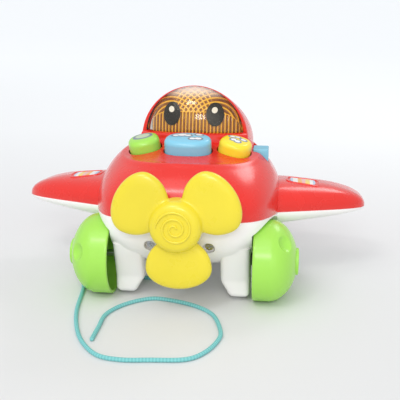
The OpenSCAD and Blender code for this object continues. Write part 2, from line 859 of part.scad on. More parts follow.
// Sections of the hood from its front plane back to its tail, with its skin moved in by t. It swells
// behind its front rim and sinks towards its tail.
function hood_rings(t) = [
    for (k = [0 : hood_rings_n - 1])
        let (a = 90 * k / hood_rings_n)
        [for (i = [0 : hood_around - 1])
            let (b = -360 * i / hood_around)
            [(hood_half_w + hood_bulge * sin(a) - t) * cos(a) * cos(b), canopy_y + (hood_len - t) * sin(a),
             hood_z - hood_fall * sin(a) + (hood_h - hood_slope * sin(a) - t) * cos(a) * sin(b)]]];

module canopy_hood() {
    color(red) difference() {
        union() {
            bowl(hood_rings(0), hood_rings(wall));
            intersection() {
                skin(hood_rings(0));
                block([-hood_half_w, canopy_y, canopy_z - lens_r],
                      [hood_half_w, canopy_y + rim_t, hood_z + hood_h]);
            }
        }
        along_y(lens_r, canopy_y - 1, canopy_y + rim_t + 1, 0, canopy_z);
        upper_solid();
    }
}

// The round crown of the deck as a long roll, used to trim the windshield and its insert, and raised for
// the sill in front of them
module deck_roll(up = 0) {
    r = pow(crease_half_w, 2) / (2 * deck_crown);
    translate([0, canopy_y, spine(canopy_y)]) rotate([atan(deck_rise), 0, 0])
        along_y(r + up, -hood_len, hood_len, 0, -r, $fn = 200);
}

// A low sill on the deck that runs round the foot of the windshield
module windshield_sill() {
    difference() {
        intersection() {
            deck_roll(sill_h);
            along_z(lens_sphere + sill_w, canopy_z - lens_r, deck_z + 2 * sill_h, 0, lens_centre_y);
            block([-lens_r, lens_centre_y - 2 * lens_sphere, 0], [lens_r, canopy_y, 2 * deck_z]);
        }
        deck_roll(-1);
        translate([0, lens_centre_y, canopy_z]) sphere(lens_sphere + gap / 4);
    }
}

// The part of a round shell between two radii that bulges forward from the plane at y = end
module lens_cap(outer, inner, end) {
    reach = 2 * lens_sphere;
    difference() {
        translate([0, lens_centre_y, canopy_z]) sphere(outer);
        translate([0, lens_centre_y, canopy_z]) sphere(inner);
        block([-reach, end, canopy_z - reach], [reach, end + 2 * reach, canopy_z + reach]);
        deck_roll();
    }
}

module windshield() {
    rim_r = lens_r - gap / 4;
    color(amber, 0.5) difference() {
        union() {
            lens_cap(lens_sphere, lens_sphere - lens_t, canopy_y);
            difference() {
                along_y(rim_r, canopy_y, canopy_y + rim_t, 0, canopy_z);
                along_y(rim_r - 1.2, canopy_y - 1, canopy_y + rim_t + 1, 0, canopy_z);
            }
        }
        deck_roll();
    }
}

module lens_insert() {
    color("goldenrod") lens_cap(insert_sphere, insert_sphere - insert_t, canopy_y + rim_t);
}

module eyes() {
    color(black) intersection() {
        lens_cap(insert_sphere + eye_t, insert_sphere, canopy_y);
        for (s = side)
            translate([s * eye_x, canopy_y, canopy_z + eye_rise]) rotate([90, 0, 0])
                linear_extrude(lens_bulge)
                    polygon([for (i = [0 : 35]) [eye_half_w * cos(10 * i), eye_half_h * sin(10 * i)]]);
    }
}

module canopy_lamp() {
    color("ivory") on_deck(0, lamp_y) {
        along_z(lamp_r, 0, lamp_h - lamp_r, 0, 0);
        along_z(lamp_r - 1, -2 * wall, 1, 0, 0);
        translate([0, 0, lamp_h - lamp_r]) sphere(lamp_r);
    }
}

// A propeller blade: a cushion with an egg-shaped outline round its widest part, with its tip towards +Y
module blade() {
    half = blade_t / 2;
    turns = [0, 25, 45, 60, 75];
    ring = [for (i = [0 : blade_around - 1])
        let (a = 360 * i / blade_around)
        [blade_half_w * cos(a), (sin(a) > 0 ? prop_r - blade_mid_r : blade_in_len) * sin(a)]];
    level = function (t) let (s = pow(cos(t), 0.5)) [s, half * pow(sin(t), 0.8)];
    at = function (l, up) [for (p = ring) [p[0] * l[0], p[1] * l[0], up * l[1]]];
    skin(concat(
        [for (k = [len(turns) - 1 : -1 : 0]) at(level(turns[k]), -1)],
        [for (k = [1 : len(turns) - 1]) at(level(turns[k]), 1)]));
}

// The raised spiral on the hub, as one band
function spiral_edge(r0) = [
    for (a = [0 : 15 : 360 * spiral_turns])
        let (r = r0 + spiral_r * a / (360 * spiral_turns))
        [r * cos(a), r * sin(a)]];
module spiral() {
    inner = spiral_edge(0.4);
    outer = spiral_edge(0.4 + spiral_w);
    linear_extrude(spiral_h + 1) polygon(concat(outer, [for (i = [len(inner) - 1 : -1 : 0]) inner[i]]));
}

module propeller() {
    depth = hub_back - front - spiral_h;
    bulge = [for (a = [0 : 15 : 90]) [hub_r - hub_round * (1 - cos(a)), depth - hub_round * (1 - sin(a))]];
    color(yellow) translate([0, hub_back, prop_z]) rotate([90, 0, 0]) difference() {
        union() {
            rotate_extrude() polygon(concat([[0, 0], [hub_r, 0]], bulge, [[0, depth]]));
            translate([0, 0, depth - 1]) rotate([0, 0, spiral_start]) spiral();
            for (i = [0 : blades - 1])
                rotate([0, 0, prop_turn + 360 * i / blades - 90])
                    translate([blade_mid_r, 0, hub_back - blade_mid_y]) rotate([0, 0, -90]) blade();
        }
        translate([0, 0, -1]) cylinder(r = shaft_r, h = depth - 2);
    }
}

module propeller_shaft() {
    color(steel) along_y(shaft_r, front + spiral_h + 3, bracket_front + bracket_t + clip_t + 3, 0, prop_z);
}

module propeller_bush() {
    color("dimgray") difference() {
        union() {
            along_y(bush_r, body_front - flange_t, bracket_front + bracket_t, 0, prop_z);
            along_y(bush_r + 3, body_front - flange_t, body_front, 0, prop_z);
            block([-bush_r - 3, bracket_front, nose_screw_z],
                  [bush_r + 3, bracket_front + bracket_t, prop_z + bush_r + 3]);
            block([-bracket_half_w, bracket_front, nose_screw_z - 6],
                  [bracket_half_w, bracket_front + bracket_t, nose_screw_z + 6]);
        }
        along_y(shaft_r + run_fit, body_front - flange_t - 1, bracket_front + bracket_t + 1, 0, prop_z);
        for (s = side)
            along_y(screw_r, bracket_front - 1, bracket_front + bracket_t + 1, s * nose_screw_x, nose_screw_z);
    }
}

module shaft_clip() {
    y = bracket_front + bracket_t + gap;
    color(steel) difference() {
        along_y(shaft_r + 2.5, y, y + clip_t, 0, prop_z);
        along_y(shaft_r, y - 1, y + clip_t + 1, 0, prop_z);
    }
}

// A screw along +Z with its head at z = 0, and a cross recess in the head
module screw(len) {
    difference() {
        union() {
            cylinder(r = screw_head_r, h = screw_head_t);
            cylinder(r = screw_r, h = len);
        }
        for (a = [0, 90])
            rotate([0, 0, a]) block([-2, -0.4, -1], [2, 0.4, 1.2]);
    }
}

module nose_screws() {
    color(steel) for (s = side)
        translate([s * nose_screw_x, nose_floor - screw_head_t, nose_screw_z]) rotate([-90, 0, 0])
            screw(bracket_front + bracket_t - nose_floor + screw_head_t + 2);
}

module shell_screws() {
    color(steel) for (s = side, b = bosses)
        translate([s * b[0], b[1], belly_z + screw_sink - screw_head_t])
            screw(parting(b[1]) + screw_bite - 2 - belly_z - screw_sink + screw_head_t);
}

// A front wheel about its axis, from its inner face at z = 0 out to its domed side, solid or hollow
function dome_profile(t, last) = [
    for (a = [0 : last / 8 : last]) [(wheel_r - t) * cos(a), wheel_tread + (wheel_dome - t) * sin(a)]];
module wheel_solid() {
    rotate_extrude() polygon(concat(
        [[axle_r, 0], [wheel_r - 1, 0], [wheel_r, 1]], dome_profile(0, dome_end), [[axle_r, wheel_flat]]));
}
module wheel_hollow() {
    hub = axle_r + boss_wall;
    rotate_extrude() polygon(concat(
        [[hub, -1], [wheel_r - wheel_wall, -1]], dome_profile(wheel_wall, hollow_end),
        [[hub, wheel_flat - wheel_wall - 1]]));
}
// Centres of the spheres that sink the dimples
module dimple_places() {
    a = acos(dimple_ring / wheel_r);
    out = [cos(a) / wheel_r, sin(a) / wheel_dome];
    lift = sqrt(pow(dimple_sphere, 2) - pow(dimple_r, 2)) * out / norm(out);
    for (i = [0 : dimples - 1])
        rotate([0, 0, 360 * i / dimples])
            translate([dimple_ring + lift[0], 0, wheel_tread + wheel_dome * sin(a) + lift[1]]) children();
}
module front_wheel(turn) {
    color(green) translate([wheel_in, axle_y, wheel_r]) rotate([0, 90, 0]) rotate([0, 0, -90 - turn])
    difference() {
        union() {
            difference() {
                wheel_solid();
                wheel_hollow();
            }
            intersection() {
                wheel_solid();
                dimple_places() sphere(dimple_sphere + wheel_wall);
            }
        }
        dimple_places() sphere(dimple_sphere);
    }
}
module hub_cap() {
    seat = wheel_tread + wheel_dome * sin(acos(cap_r / wheel_r));
    color(green) translate([wheel_in, axle_y, wheel_r]) rotate([0, 90, 0]) rotate_extrude()
        polygon([[0, wheel_flat], [wheel_r * cos(dome_end), wheel_flat], [cap_r, seat], [cap_r, cap_z - 1],
                 [cap_r - 1, cap_z], [0, cap_z]]);
}

module left_front_wheel() {
    mirror([1, 0, 0]) front_wheel(left_turn);
}

module right_front_wheel() {
    front_wheel(right_turn);
}

module left_hub_cap() {
    mirror([1, 0, 0]) hub_cap();
}

module right_hub_cap() {
    hub_cap();
}

module front_axle() {
    half = wheel_in + wheel_flat - gap;
    color(steel) along_x(axle_r, -half, half, axle_y, wheel_r);
}

module axle_bushes() {
    color("dimgray") for (s = side) mirror([s > 0 ? 0 : 1, 0, 0]) difference() {
        union() {
            along_x(axle_r + bush_wall, bush_in, well_in, axle_y, wheel_r);
            along_x(bush_flange, well_in, wheel_in - gap, axle_y, wheel_r);
        }
        along_x(axle_r + run_fit, bush_in - 1, wheel_in, axle_y, wheel_r);
    }
}

// A tail wheel with its hub, on the side of +X
module tail_wheel() {
    hub = tail_axle_r + boss_wall;
    half_w = tail_wheel_w / 2;
    inner = strut_half_w + gap - tail_wheel_x;
    color(green) translate([tail_wheel_x, tail_axle_y, tail_wheel_r]) rotate([0, 90, 0]) rotate_extrude()
        polygon([
        [tail_axle_r, inner], [hub, inner], [hub, -half_w],
        [tail_wheel_r - 2, -half_w], [tail_wheel_r, 2 - half_w], [tail_wheel_r, half_w - 2],
        [tail_wheel_r - 2, half_w], [tail_axle_r, half_w]]);
}

module left_tail_wheel() {
    mirror([1, 0, 0]) tail_wheel();
}

module right_tail_wheel() {
    tail_wheel();
}

module tail_axle() {
    half = tail_wheel_x + tail_wheel_w / 2;
    color(steel) along_x(tail_axle_r, -half, half, tail_axle_y, tail_wheel_r);
}

// Share of the way from a wing's root to its tip
function out_share(x) = (x - wing_root_x) / (span / 2 - wing_root_x);
function leading(x) = wing_root_front + (wing_tip_front - wing_root_front) * out_share(x);
function trailing(x) = wing_root_back + (wing_tip_back - wing_root_back) * out_share(x);

// Rings of a wing's skin from its parting plane to its crown, with its skin moved in by t
function wing_rings(t, height, tip_share) =
    let (half_x = (span / 2 - wing_in) / 2 - t, mid_x = (span / 2 + wing_in) / 2)
    [for (turn = wing_turns)
        let (s = pow(cos(turn), 2 / wing_m), u = pow(sin(turn), 2 / wing_m))
        [for (i = [0 : wing_around - 1])
            let (a = 360 * i / wing_around, x = mid_x + half_x * s * power(cos(a), 2 / wing_n),
                 y = (leading(x) + trailing(x)) / 2
                     + ((trailing(x) - leading(x)) / 2 - t) * s * power(sin(a), 2 / wing_n),
                 rise = abs(height) * (1 - (1 - tip_share) * out_share(x)) - t)
            [x, y, parting(y) + sign(height) * rise * u]]];

// Axes of a label: z leaves the wing's top square to its surface
function wing_height(x) = wing_rise * (1 - (1 - wing_tip_rise) * out_share(x));
function wing_top_z(x, y) =
    let (v = (2 * y - leading(x) - trailing(x)) / (trailing(x) - leading(x)))
    parting(y) + wing_height(x) * pow(1 - pow(abs(v), wing_m), 1 / wing_m);
module on_wing() {
    z = wing_top_z(label_x, label_y);
    n = [z - wing_top_z(label_x + 1, label_y), z - wing_top_z(label_x, label_y + 1), 1];
    up = n / norm(n);
    translate([label_x, label_y, z - label_sink]) rotate([asin(-up[1]), atan2(up[0], up[2]), 0]) children();
}

// The top and bottom of the wing on side s, both trimmed to the fuselage
module wing_top(s) {
    difference() {
        mirror([s > 0 ? 0 : 1, 0, 0]) difference() {
            bowl(wing_rings(0, wing_rise, wing_tip_rise), wing_rings(wall, wing_rise, wing_tip_rise));
            on_wing() linear_extrude(wing_rise) polygon(outline(label_w + gap, label_len + gap, label_n, 32));
        }
        upper_solid(1);
    }
}

module wing_bottom(s) {
    difference() {
        mirror([s > 0 ? 0 : 1, 0, 0])
            bowl(mirrored(wing_rings(0, -wing_drop, wing_tip_drop)),
                 mirrored(wing_rings(wall, -wing_drop, wing_tip_drop)));
        lower_solid(1);
    }
}

module wing_label() {
    on_wing() linear_extrude(label_t) polygon(outline(label_w, label_len, label_n, 32));
}

module left_wing_top() {
    color(red) wing_top(-1);
}

module left_wing_bottom() {
    color(white) wing_bottom(-1);
}

module right_wing_top() {
    color(red) wing_top(1);
}

module right_wing_bottom() {
    color(white) wing_bottom(1);
}

module left_wing_label() {
    color("lightyellow") mirror([1, 0, 0]) wing_label();
}

module right_wing_label() {
    color("lightyellow") wing_label();
}

module tail_fin() {
    r = fin_t / 2;
    color(red) difference() {
        hull() {
            for (p = [[fin_front + r, spine(fin_front) - r], [back - fin_top_len, fin_top_z - r],
                      [back - fin_round, fin_top_z - r - fin_round_drop], [back - r, fin_top_z - fin_back_drop],
                      [back - fin_foot, parting(back) + r + fin_foot_gap]])
                translate([0, p[0], p[1]]) sphere(r, $fn = 24);
        }
        upper_solid();
    }
}

module tailplane() {
    r = tailplane_t / 2;
    r_fin = fin_t / 2 + 0.05;
    color(red) difference() {
        hull() {
            for (s = side, p = [[tailplane_half - r, tailplane_tip_back],
                                [tailplane_half - r - tailplane_round, tailplane_tip_front],
                                [tailplane_root, tailplane_front], [tailplane_root, tailplane_back]])
                translate([s * p[0], back - p[1], tailplane_z]) sphere(r, $fn = 24);
        }
        upper_solid();
        block([-r_fin, body_mid, 0], [r_fin, 2 * back, fin_top_z]);
    }
}

module battery_box() {
    outer = door_half_w - 0.1 + box_wall;
    color("dimgray") difference() {
        block([-outer, door_front + 0.1 - box_wall, belly_z + wall],
              [outer, door_back - 0.1 + box_wall, box_top_z]);
        block([0.1 - door_half_w, door_front + 0.1, belly_z],
              [door_half_w - 0.1, door_back - 0.1, box_top_z - box_wall]);
    }
}

module battery_door() {
    color(white) difference() {
        union() {
            block([-door_half_w, door_front, belly_z], [door_half_w, door_back, belly_z + door_t]);
            block([-tab_half_w, door_back - 1, belly_z], [tab_half_w, door_back + tab_len, belly_z + tab_t]);
        }
        along_z(screw_r + screw_hole, belly_z - 1, belly_z + tab_t + 1, 0, door_screw_y);
        along_z(screw_head_r + screw_hole, belly_z - 1, belly_z + tab_sink + tab_head_t, 0, door_screw_y);
    }
}

module door_screw() {
    color(steel) translate([0, door_screw_y, belly_z + tab_sink]) difference() {
        union() {
            cylinder(r = screw_head_r, h = tab_head_t);
            cylinder(r = screw_r, h = cell_z - belly_z - 3);
        }
        for (a = [0, 90])
            rotate([0, 0, a]) block([-1.5, -0.3, -1], [1.5, 0.3, tab_head_t - 0.2]);
    }
}

// A cell about its own middle, with its cap towards +Y
module cell() {
    along_y(cell_r, -cell_len / 2, cell_len / 2 - 1, 0, 0);
    along_y(2.75, cell_len / 2 - 2, cell_len / 2, 0, 0);
}

module batteries() {
    color("slategray") for (s = side)
        translate([s * cell_x, door_mid_y, cell_z]) mirror([0, s > 0 ? 0 : 1, 0]) cell();
}

// The sprung plates at both ends of the cells
module battery_contacts() {
    reach = door_len / 2 - 0.1;
    color(steel) for (e = side) translate([0, door_mid_y, cell_z]) mirror([0, e > 0 ? 0 : 1, 0]) {
        block([-contact_half_w, reach - contact_t, -contact_half_h], [contact_half_w, reach, contact_half_h]);
        for (s = side) along_y(3, cell_len / 2 + 0.1, reach, s * cell_x, 0);
    }
}

module main_board() {
    color(board_green)
        block([-main_half_w, door_front + 3, main_board_z],
              [main_half_w, main_back + 2, main_board_z + board_t]);
}

module speaker() {
    color("dimgray") {
        along_z(speaker_r, speaker_seat_z, speaker_seat_z + 2, 0, speaker_y);
        along_z(speaker_r - 4, speaker_seat_z + 2, speaker_seat_z + speaker_t, 0, speaker_y);
    }
}

module cord_anchor() {
    color("gray") {
        along_z(anchor_r, belly_z, belly_z + 3 * wall, 0, anchor_y);
        along_z(anchor_flange, belly_z - anchor_rim, belly_z, 0, anchor_y);
    }
}

// A smooth curve through a list of points, held on or above the floor
function between(a, b, c, d, t) =
    let (p = b + t * (c - a) / 2 + t * t * (2 * a - 5 * b + 4 * c - d) / 2
             + t * t * t * (3 * b - a - 3 * c + d) / 2)
    [p[0], p[1], max(p[2], floor_z)];
function smooth(points) =
    let (last = len(points) - 1)
    concat([for (i = [0 : last - 1])
        let (count = max(1, round(norm(points[i + 1] - points[i]) / cord_step)))
        each [for (k = [0 : count - 1])
            between(points[max(i - 1, 0)], points[i], points[i + 1], points[min(i + 2, last)], k / count)]],
        [points[last]]);
function unit(v) = v / norm(v);
function headings(path) = [
    for (i = [0 : len(path) - 1]) unit(path[min(i + 1, len(path) - 1)] - path[max(i - 1, 0)])];

// Rings of a round cord along a path, each turned no more than its path turns
function cord_rings(path, r) =
    let (along = headings(path), last = len(path) - 1,
         across = [for (i = 0, n = [1, 0, 0]; i <= last;
                        i = i + 1, n = unit(n - (n * along[min(i, last)]) * along[min(i, last)])) n])
    [for (i = [0 : last])
        let (other = cross(along[i], across[i]))
        [for (k = [0 : cord_sides - 1])
            let (a = 360 * k / cord_sides)
            path[i] + r * (cos(a) * across[i] + sin(a) * other)]];

module pull_cord() {
    color(teal) skin(cord_rings(smooth(cord_route), cord_d / 2));
}

upper_shell();
lower_shell();
canopy_hood();
windshield();
lens_insert();
eyes();
canopy_lamp();
green_button();
blue_button();
yellow_button();
green_switch_dome();
blue_switch_dome();
yellow_switch_dome();
button_board();
slider_knob();
slide_switch();
propeller();
propeller_shaft();
propeller_bush();
shaft_clip();
nose_screws();
left_front_wheel();
right_front_wheel();
left_hub_cap();
right_hub_cap();
front_axle();
axle_bushes();
left_tail_wheel();
right_tail_wheel();
tail_axle();
left_wing_top();
left_wing_bottom();
right_wing_top();
right_wing_bottom();
left_wing_label();
right_wing_label();
tail_fin();
tailplane();
battery_box();
battery_door();
batteries();
battery_contacts();
door_screw();
main_board();
speaker();
shell_screws();
cord_anchor();
pull_cord();
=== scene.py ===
"""A chunky toy aeroplane on wheels, with a pull cord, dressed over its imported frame.

Lengths are metres. The nose points to -Y, +X is the side of the slide switch, and the floor is z = 0.
Every new piece is a grid of points worked out as whole arrays. A class is one sub-assembly or one finish.
"""

from __future__ import annotations

import json
import logging
import math
from dataclasses import dataclass, field
from enum import Enum
from typing import Sequence

import bmesh
import bpy
import numpy as np
from mathutils import Matrix, Vector

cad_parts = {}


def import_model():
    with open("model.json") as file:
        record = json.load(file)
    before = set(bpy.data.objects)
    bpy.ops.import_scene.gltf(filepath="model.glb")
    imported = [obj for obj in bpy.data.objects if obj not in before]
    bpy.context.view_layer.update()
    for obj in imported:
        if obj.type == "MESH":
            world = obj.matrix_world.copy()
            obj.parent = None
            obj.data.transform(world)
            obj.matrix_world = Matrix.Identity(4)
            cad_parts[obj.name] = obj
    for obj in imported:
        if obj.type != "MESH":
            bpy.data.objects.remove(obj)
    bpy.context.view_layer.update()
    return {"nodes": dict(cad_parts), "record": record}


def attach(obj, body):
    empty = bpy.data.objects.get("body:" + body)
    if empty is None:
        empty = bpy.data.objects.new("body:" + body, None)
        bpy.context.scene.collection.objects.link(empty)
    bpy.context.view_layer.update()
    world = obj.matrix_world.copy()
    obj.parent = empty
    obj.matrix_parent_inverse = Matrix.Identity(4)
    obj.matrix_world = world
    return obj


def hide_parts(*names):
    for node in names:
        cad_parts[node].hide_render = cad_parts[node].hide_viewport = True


LOG = logging.getLogger("toy_aeroplane")
FULL_TURN = 2 * math.pi
Colour = tuple[float, float, float]


# ---------------------------------------------------------------- shapes in arrays
def points(x: np.ndarray | float, y: np.ndarray | float, z: np.ndarray | float) -> np.ndarray:
    """Joins three coordinate arrays of any matching shapes into one array of points."""
    return np.stack(np.broadcast_arrays(x, y, z), axis=-1).astype(float)


def power(value: np.ndarray, exponent: np.ndarray | float) -> np.ndarray:
    """Raises the size of a value to an exponent and keeps its sign."""
    return np.sign(value) * np.abs(value) ** exponent


def round_square(angle: np.ndarray, n: np.ndarray | float) -> tuple[np.ndarray, np.ndarray]:
    """A unit outline between a circle (n = 2) and a square (large n).

    The radius at an angle is (|cos|^n + |sin|^n)^(-1/n), so points are spread by true angle.

    Args:
        angle: Angles round the outline.
        n: The exponent, one number or one per angle.

    Returns:
        The two coordinates of each point.
    """
    c, s = np.cos(angle), np.sin(angle)
    radius = (np.abs(c) ** n + np.abs(s) ** n) ** (-1 / n)
    return radius * c, radius * s


def ease(value: np.ndarray, low: float, high: float) -> np.ndarray:
    """Rises smoothly from 0 at low to 1 at high."""
    t = np.clip((value - low) / (high - low), 0, 1)
    return t * t * (3 - 2 * t)


def turns(count: int) -> np.ndarray:
    """Angles evenly round a full turn, without the last one."""
    return np.arange(count) * FULL_TURN / count


def bend(a: np.ndarray, knee: np.ndarray, b: np.ndarray, steps: int) -> np.ndarray:
    """Rows of a rounded corner: a quadratic curve from row a to row b that is drawn to the knee."""
    t = (np.arange(1, steps + 1) / (steps + 1))[:, None, None]
    return (1 - t) ** 2 * a + 2 * t * (1 - t) * knee + t ** 2 * b


def lathe(profile: np.ndarray, count: int) -> np.ndarray:
    """Turns a profile of (along, radius) pairs about the X axis.

    Args:
        profile: Rows of distance along the axis and radius.
        count: Points round the turn.

    Returns:
        A grid of points, one row for each pair.
    """
    a = turns(count)[None, :]
    along, radius = profile[:, :1], profile[:, 1:]
    return points(along + 0 * a, radius * np.cos(a), radius * np.sin(a))


def arc(centre: tuple[float, float], radius: float, start: float, end: float, count: int) -> np.ndarray:
    """Points of a circle's arc in a profile, from one angle in degrees to another."""
    a = np.radians(np.linspace(start, end, count))
    return np.stack([centre[0] + radius * np.cos(a), centre[1] + radius * np.sin(a)], axis=-1)


@dataclass
class Patch:
    """One surface on a grid of points.

    Attributes:
        grid: Points, rows by columns by 3.
        ring: Whether the last column joins the first one.
        capped: Whether the first and the last row are closed over their middle points.
        material: Index of the finish on the piece.
        value: One number per point, kept as the mesh attribute "shade".
    """

    grid: np.ndarray
    ring: bool = True
    capped: bool = True
    material: int = 0
    value: np.ndarray | None = None


class Weld(Enum):
    """How a new mesh is joined and turned the right way out."""

    SOLID = "solid"
    SHEET = "sheet"


def mesh_from(name: str, patches: Sequence[Patch], weld: Weld = Weld.SOLID) -> bpy.types.Mesh:
    """Builds one mesh from patches, welds its seams and points its faces outwards.

    Args:
        name: Name of the mesh.
        patches: The surfaces that make it up.
        weld: SOLID recalculates the normals of closed surfaces, SHEET keeps the grid's own side.

    Returns:
        The finished mesh, shaded smooth except at sharp edges.
    """
    verts, faces, kinds, shades = [], [], [], []
    base = 0
    for patch in patches:
        rows, cols = patch.grid.shape[:2]
        index = base + np.arange(rows * cols).reshape(rows, cols)
        here = index if patch.ring else index[:, :-1]
        there = np.roll(index, -1, axis=1) if patch.ring else index[:, 1:]
        quads = np.stack([here[:-1], there[:-1], there[1:], here[1:]], axis=-1).reshape(-1, 4)
        verts.append(patch.grid.reshape(-1, 3))
        shade = np.zeros((rows, cols)) if patch.value is None else patch.value
        shades.append(shade.ravel())
        new = quads.tolist()
        base += rows * cols
        if patch.capped and patch.ring:
            for k, row in ((0, index[0]), (rows - 1, index[-1])):
                verts.append(patch.grid[k].mean(axis=0)[None])
                shades.append(np.array([shade[k].mean()]))
                ends = np.stack([row, np.roll(row, -1), np.full_like(row, base)], axis=-1)
                new += (ends if k else ends[:, ::-1]).tolist()
                base += 1
        faces += new
        kinds += [patch.material] * len(new)
    mesh = bpy.data.meshes.new(name)
    mesh.from_pydata(np.concatenate(verts).tolist(), [], faces)
    mesh.attributes.new("shade", "FLOAT", "POINT").data.foreach_set("value", np.concatenate(shades))
    mesh.polygons.foreach_set("material_index", kinds)
    tool = bmesh.new()
    tool.from_mesh(mesh)
    bmesh.ops.remove_doubles(tool, verts=tool.verts, dist=1e-7)
    bmesh.ops.dissolve_degenerate(tool, edges=tool.edges, dist=1e-8)
    if weld is Weld.SOLID:
        bmesh.ops.recalc_face_normals(tool, faces=tool.faces)
    tool.to_mesh(mesh)
    tool.free()
    shade_smooth(mesh)
    return mesh


def shade_smooth(mesh: bpy.types.Mesh, sharp: float = 32) -> None:
    """Shades a mesh smooth, apart from edges sharper than an angle in degrees."""
    mesh.shade_smooth()
    mesh.set_sharp_from_angle(angle=math.radians(sharp))


def new_object(name: str, patches: Sequence[Patch], weld: Weld = Weld.SOLID) -> bpy.types.Object:
    """Makes an object at the origin from patches and links it to the scene."""
    piece = bpy.data.objects.new(name, mesh_from(name, patches, weld))
    bpy.context.scene.collection.objects.link(piece)
    return piece


def settle(piece: bpy.types.Object) -> None:
    """Applies a piece's modifiers to its mesh, so that none is left live."""
    graph = bpy.context.evaluated_depsgraph_get()
    graph.update()
    done = bpy.data.meshes.new_from_object(piece.evaluated_get(graph), depsgraph=graph)
    piece.modifiers.clear()
    old, piece.data = piece.data, done
    bpy.data.meshes.remove(old)


def cut(piece: bpy.types.Object, tools: Sequence[bpy.types.Object], operation: str = "DIFFERENCE",
        crossing: bool = False) -> None:
    """Cuts a piece by solid tools, or joins them to it, and removes the tools.

    Args:
        piece: The solid to change.
        tools: Closed solids.
        operation: The Boolean modifier's operation.
        crossing: Whether a surface may touch or cross itself.
    """
    for tool in tools:
        step = piece.modifiers.new(tool.name, "BOOLEAN")
        step.object = tool
        step.operation = operation
        step.solver = "EXACT"
        step.use_self = crossing
    settle(piece)
    for tool in tools:
        bpy.data.objects.remove(tool)
    shade_smooth(piece.data)


def dress(piece: bpy.types.Object, finishes: Sequence["Finish"], body: str,
          nodes: Sequence[str] = ()) -> bpy.types.Object:
    """Gives a piece its finishes, its body and the nodes that it stands for.

    Args:
        piece: The finished object.
        finishes: One finish per material index.
        body: Name of the body that it rides on.
        nodes: Frame nodes that it replaces.

    Returns:
        The same piece.
    """
    for finish in finishes:
        piece.data.materials.append(finish.material())
    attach(piece, body)
    if nodes:
        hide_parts(*nodes)
    LOG.info("%s: %d faces on %s", piece.name, len(piece.data.polygons), body)
    return piece


def flipped(patch: Patch) -> Patch:
    """The same patch on the other side of the middle plane x = 0."""
    return Patch(patch.grid * np.array([-1.0, 1.0, 1.0]), patch.ring, patch.capped, patch.material, patch.value)


def drum(radius: float, start: Vector, end: Vector, count: int = 48) -> Patch:
    """A closed cylinder between two points, as a cutter or a pin."""
    along = (end - start).normalized()
    side = along.cross(Vector((0, 0, 1)) if abs(along.z) < 0.9 else Vector((1, 0, 0))).normalized()
    up = along.cross(side)
    a = turns(count)[:, None]
    ring = radius * (np.cos(a) * np.array(side) + np.sin(a) * np.array(up))
    return Patch(np.stack([np.array(start) + ring, np.array(end) + ring]))


def slab(low: Sequence[float], high: Sequence[float]) -> Patch:
    """A closed block between two corners, as a cutter."""
    (x0, y0, z0), (x1, y1, z1) = low, high
    ring = np.array([[x0, y0], [x1, y0], [x1, y1], [x0, y1]])
    return Patch(np.stack([np.column_stack([ring, np.full(4, z)]) for z in (z0, z1)]))


# ---------------------------------------------------------------- finishes
def linear(hex_code: str) -> Colour:
    """Turns a written screen colour into linear light."""
    values = [int(hex_code[i:i + 2], 16) / 255 for i in (1, 3, 5)]
    return tuple(v / 12.92 if v <= 0.04045 else ((v + 0.055) / 1.055) ** 2.4 for v in values)


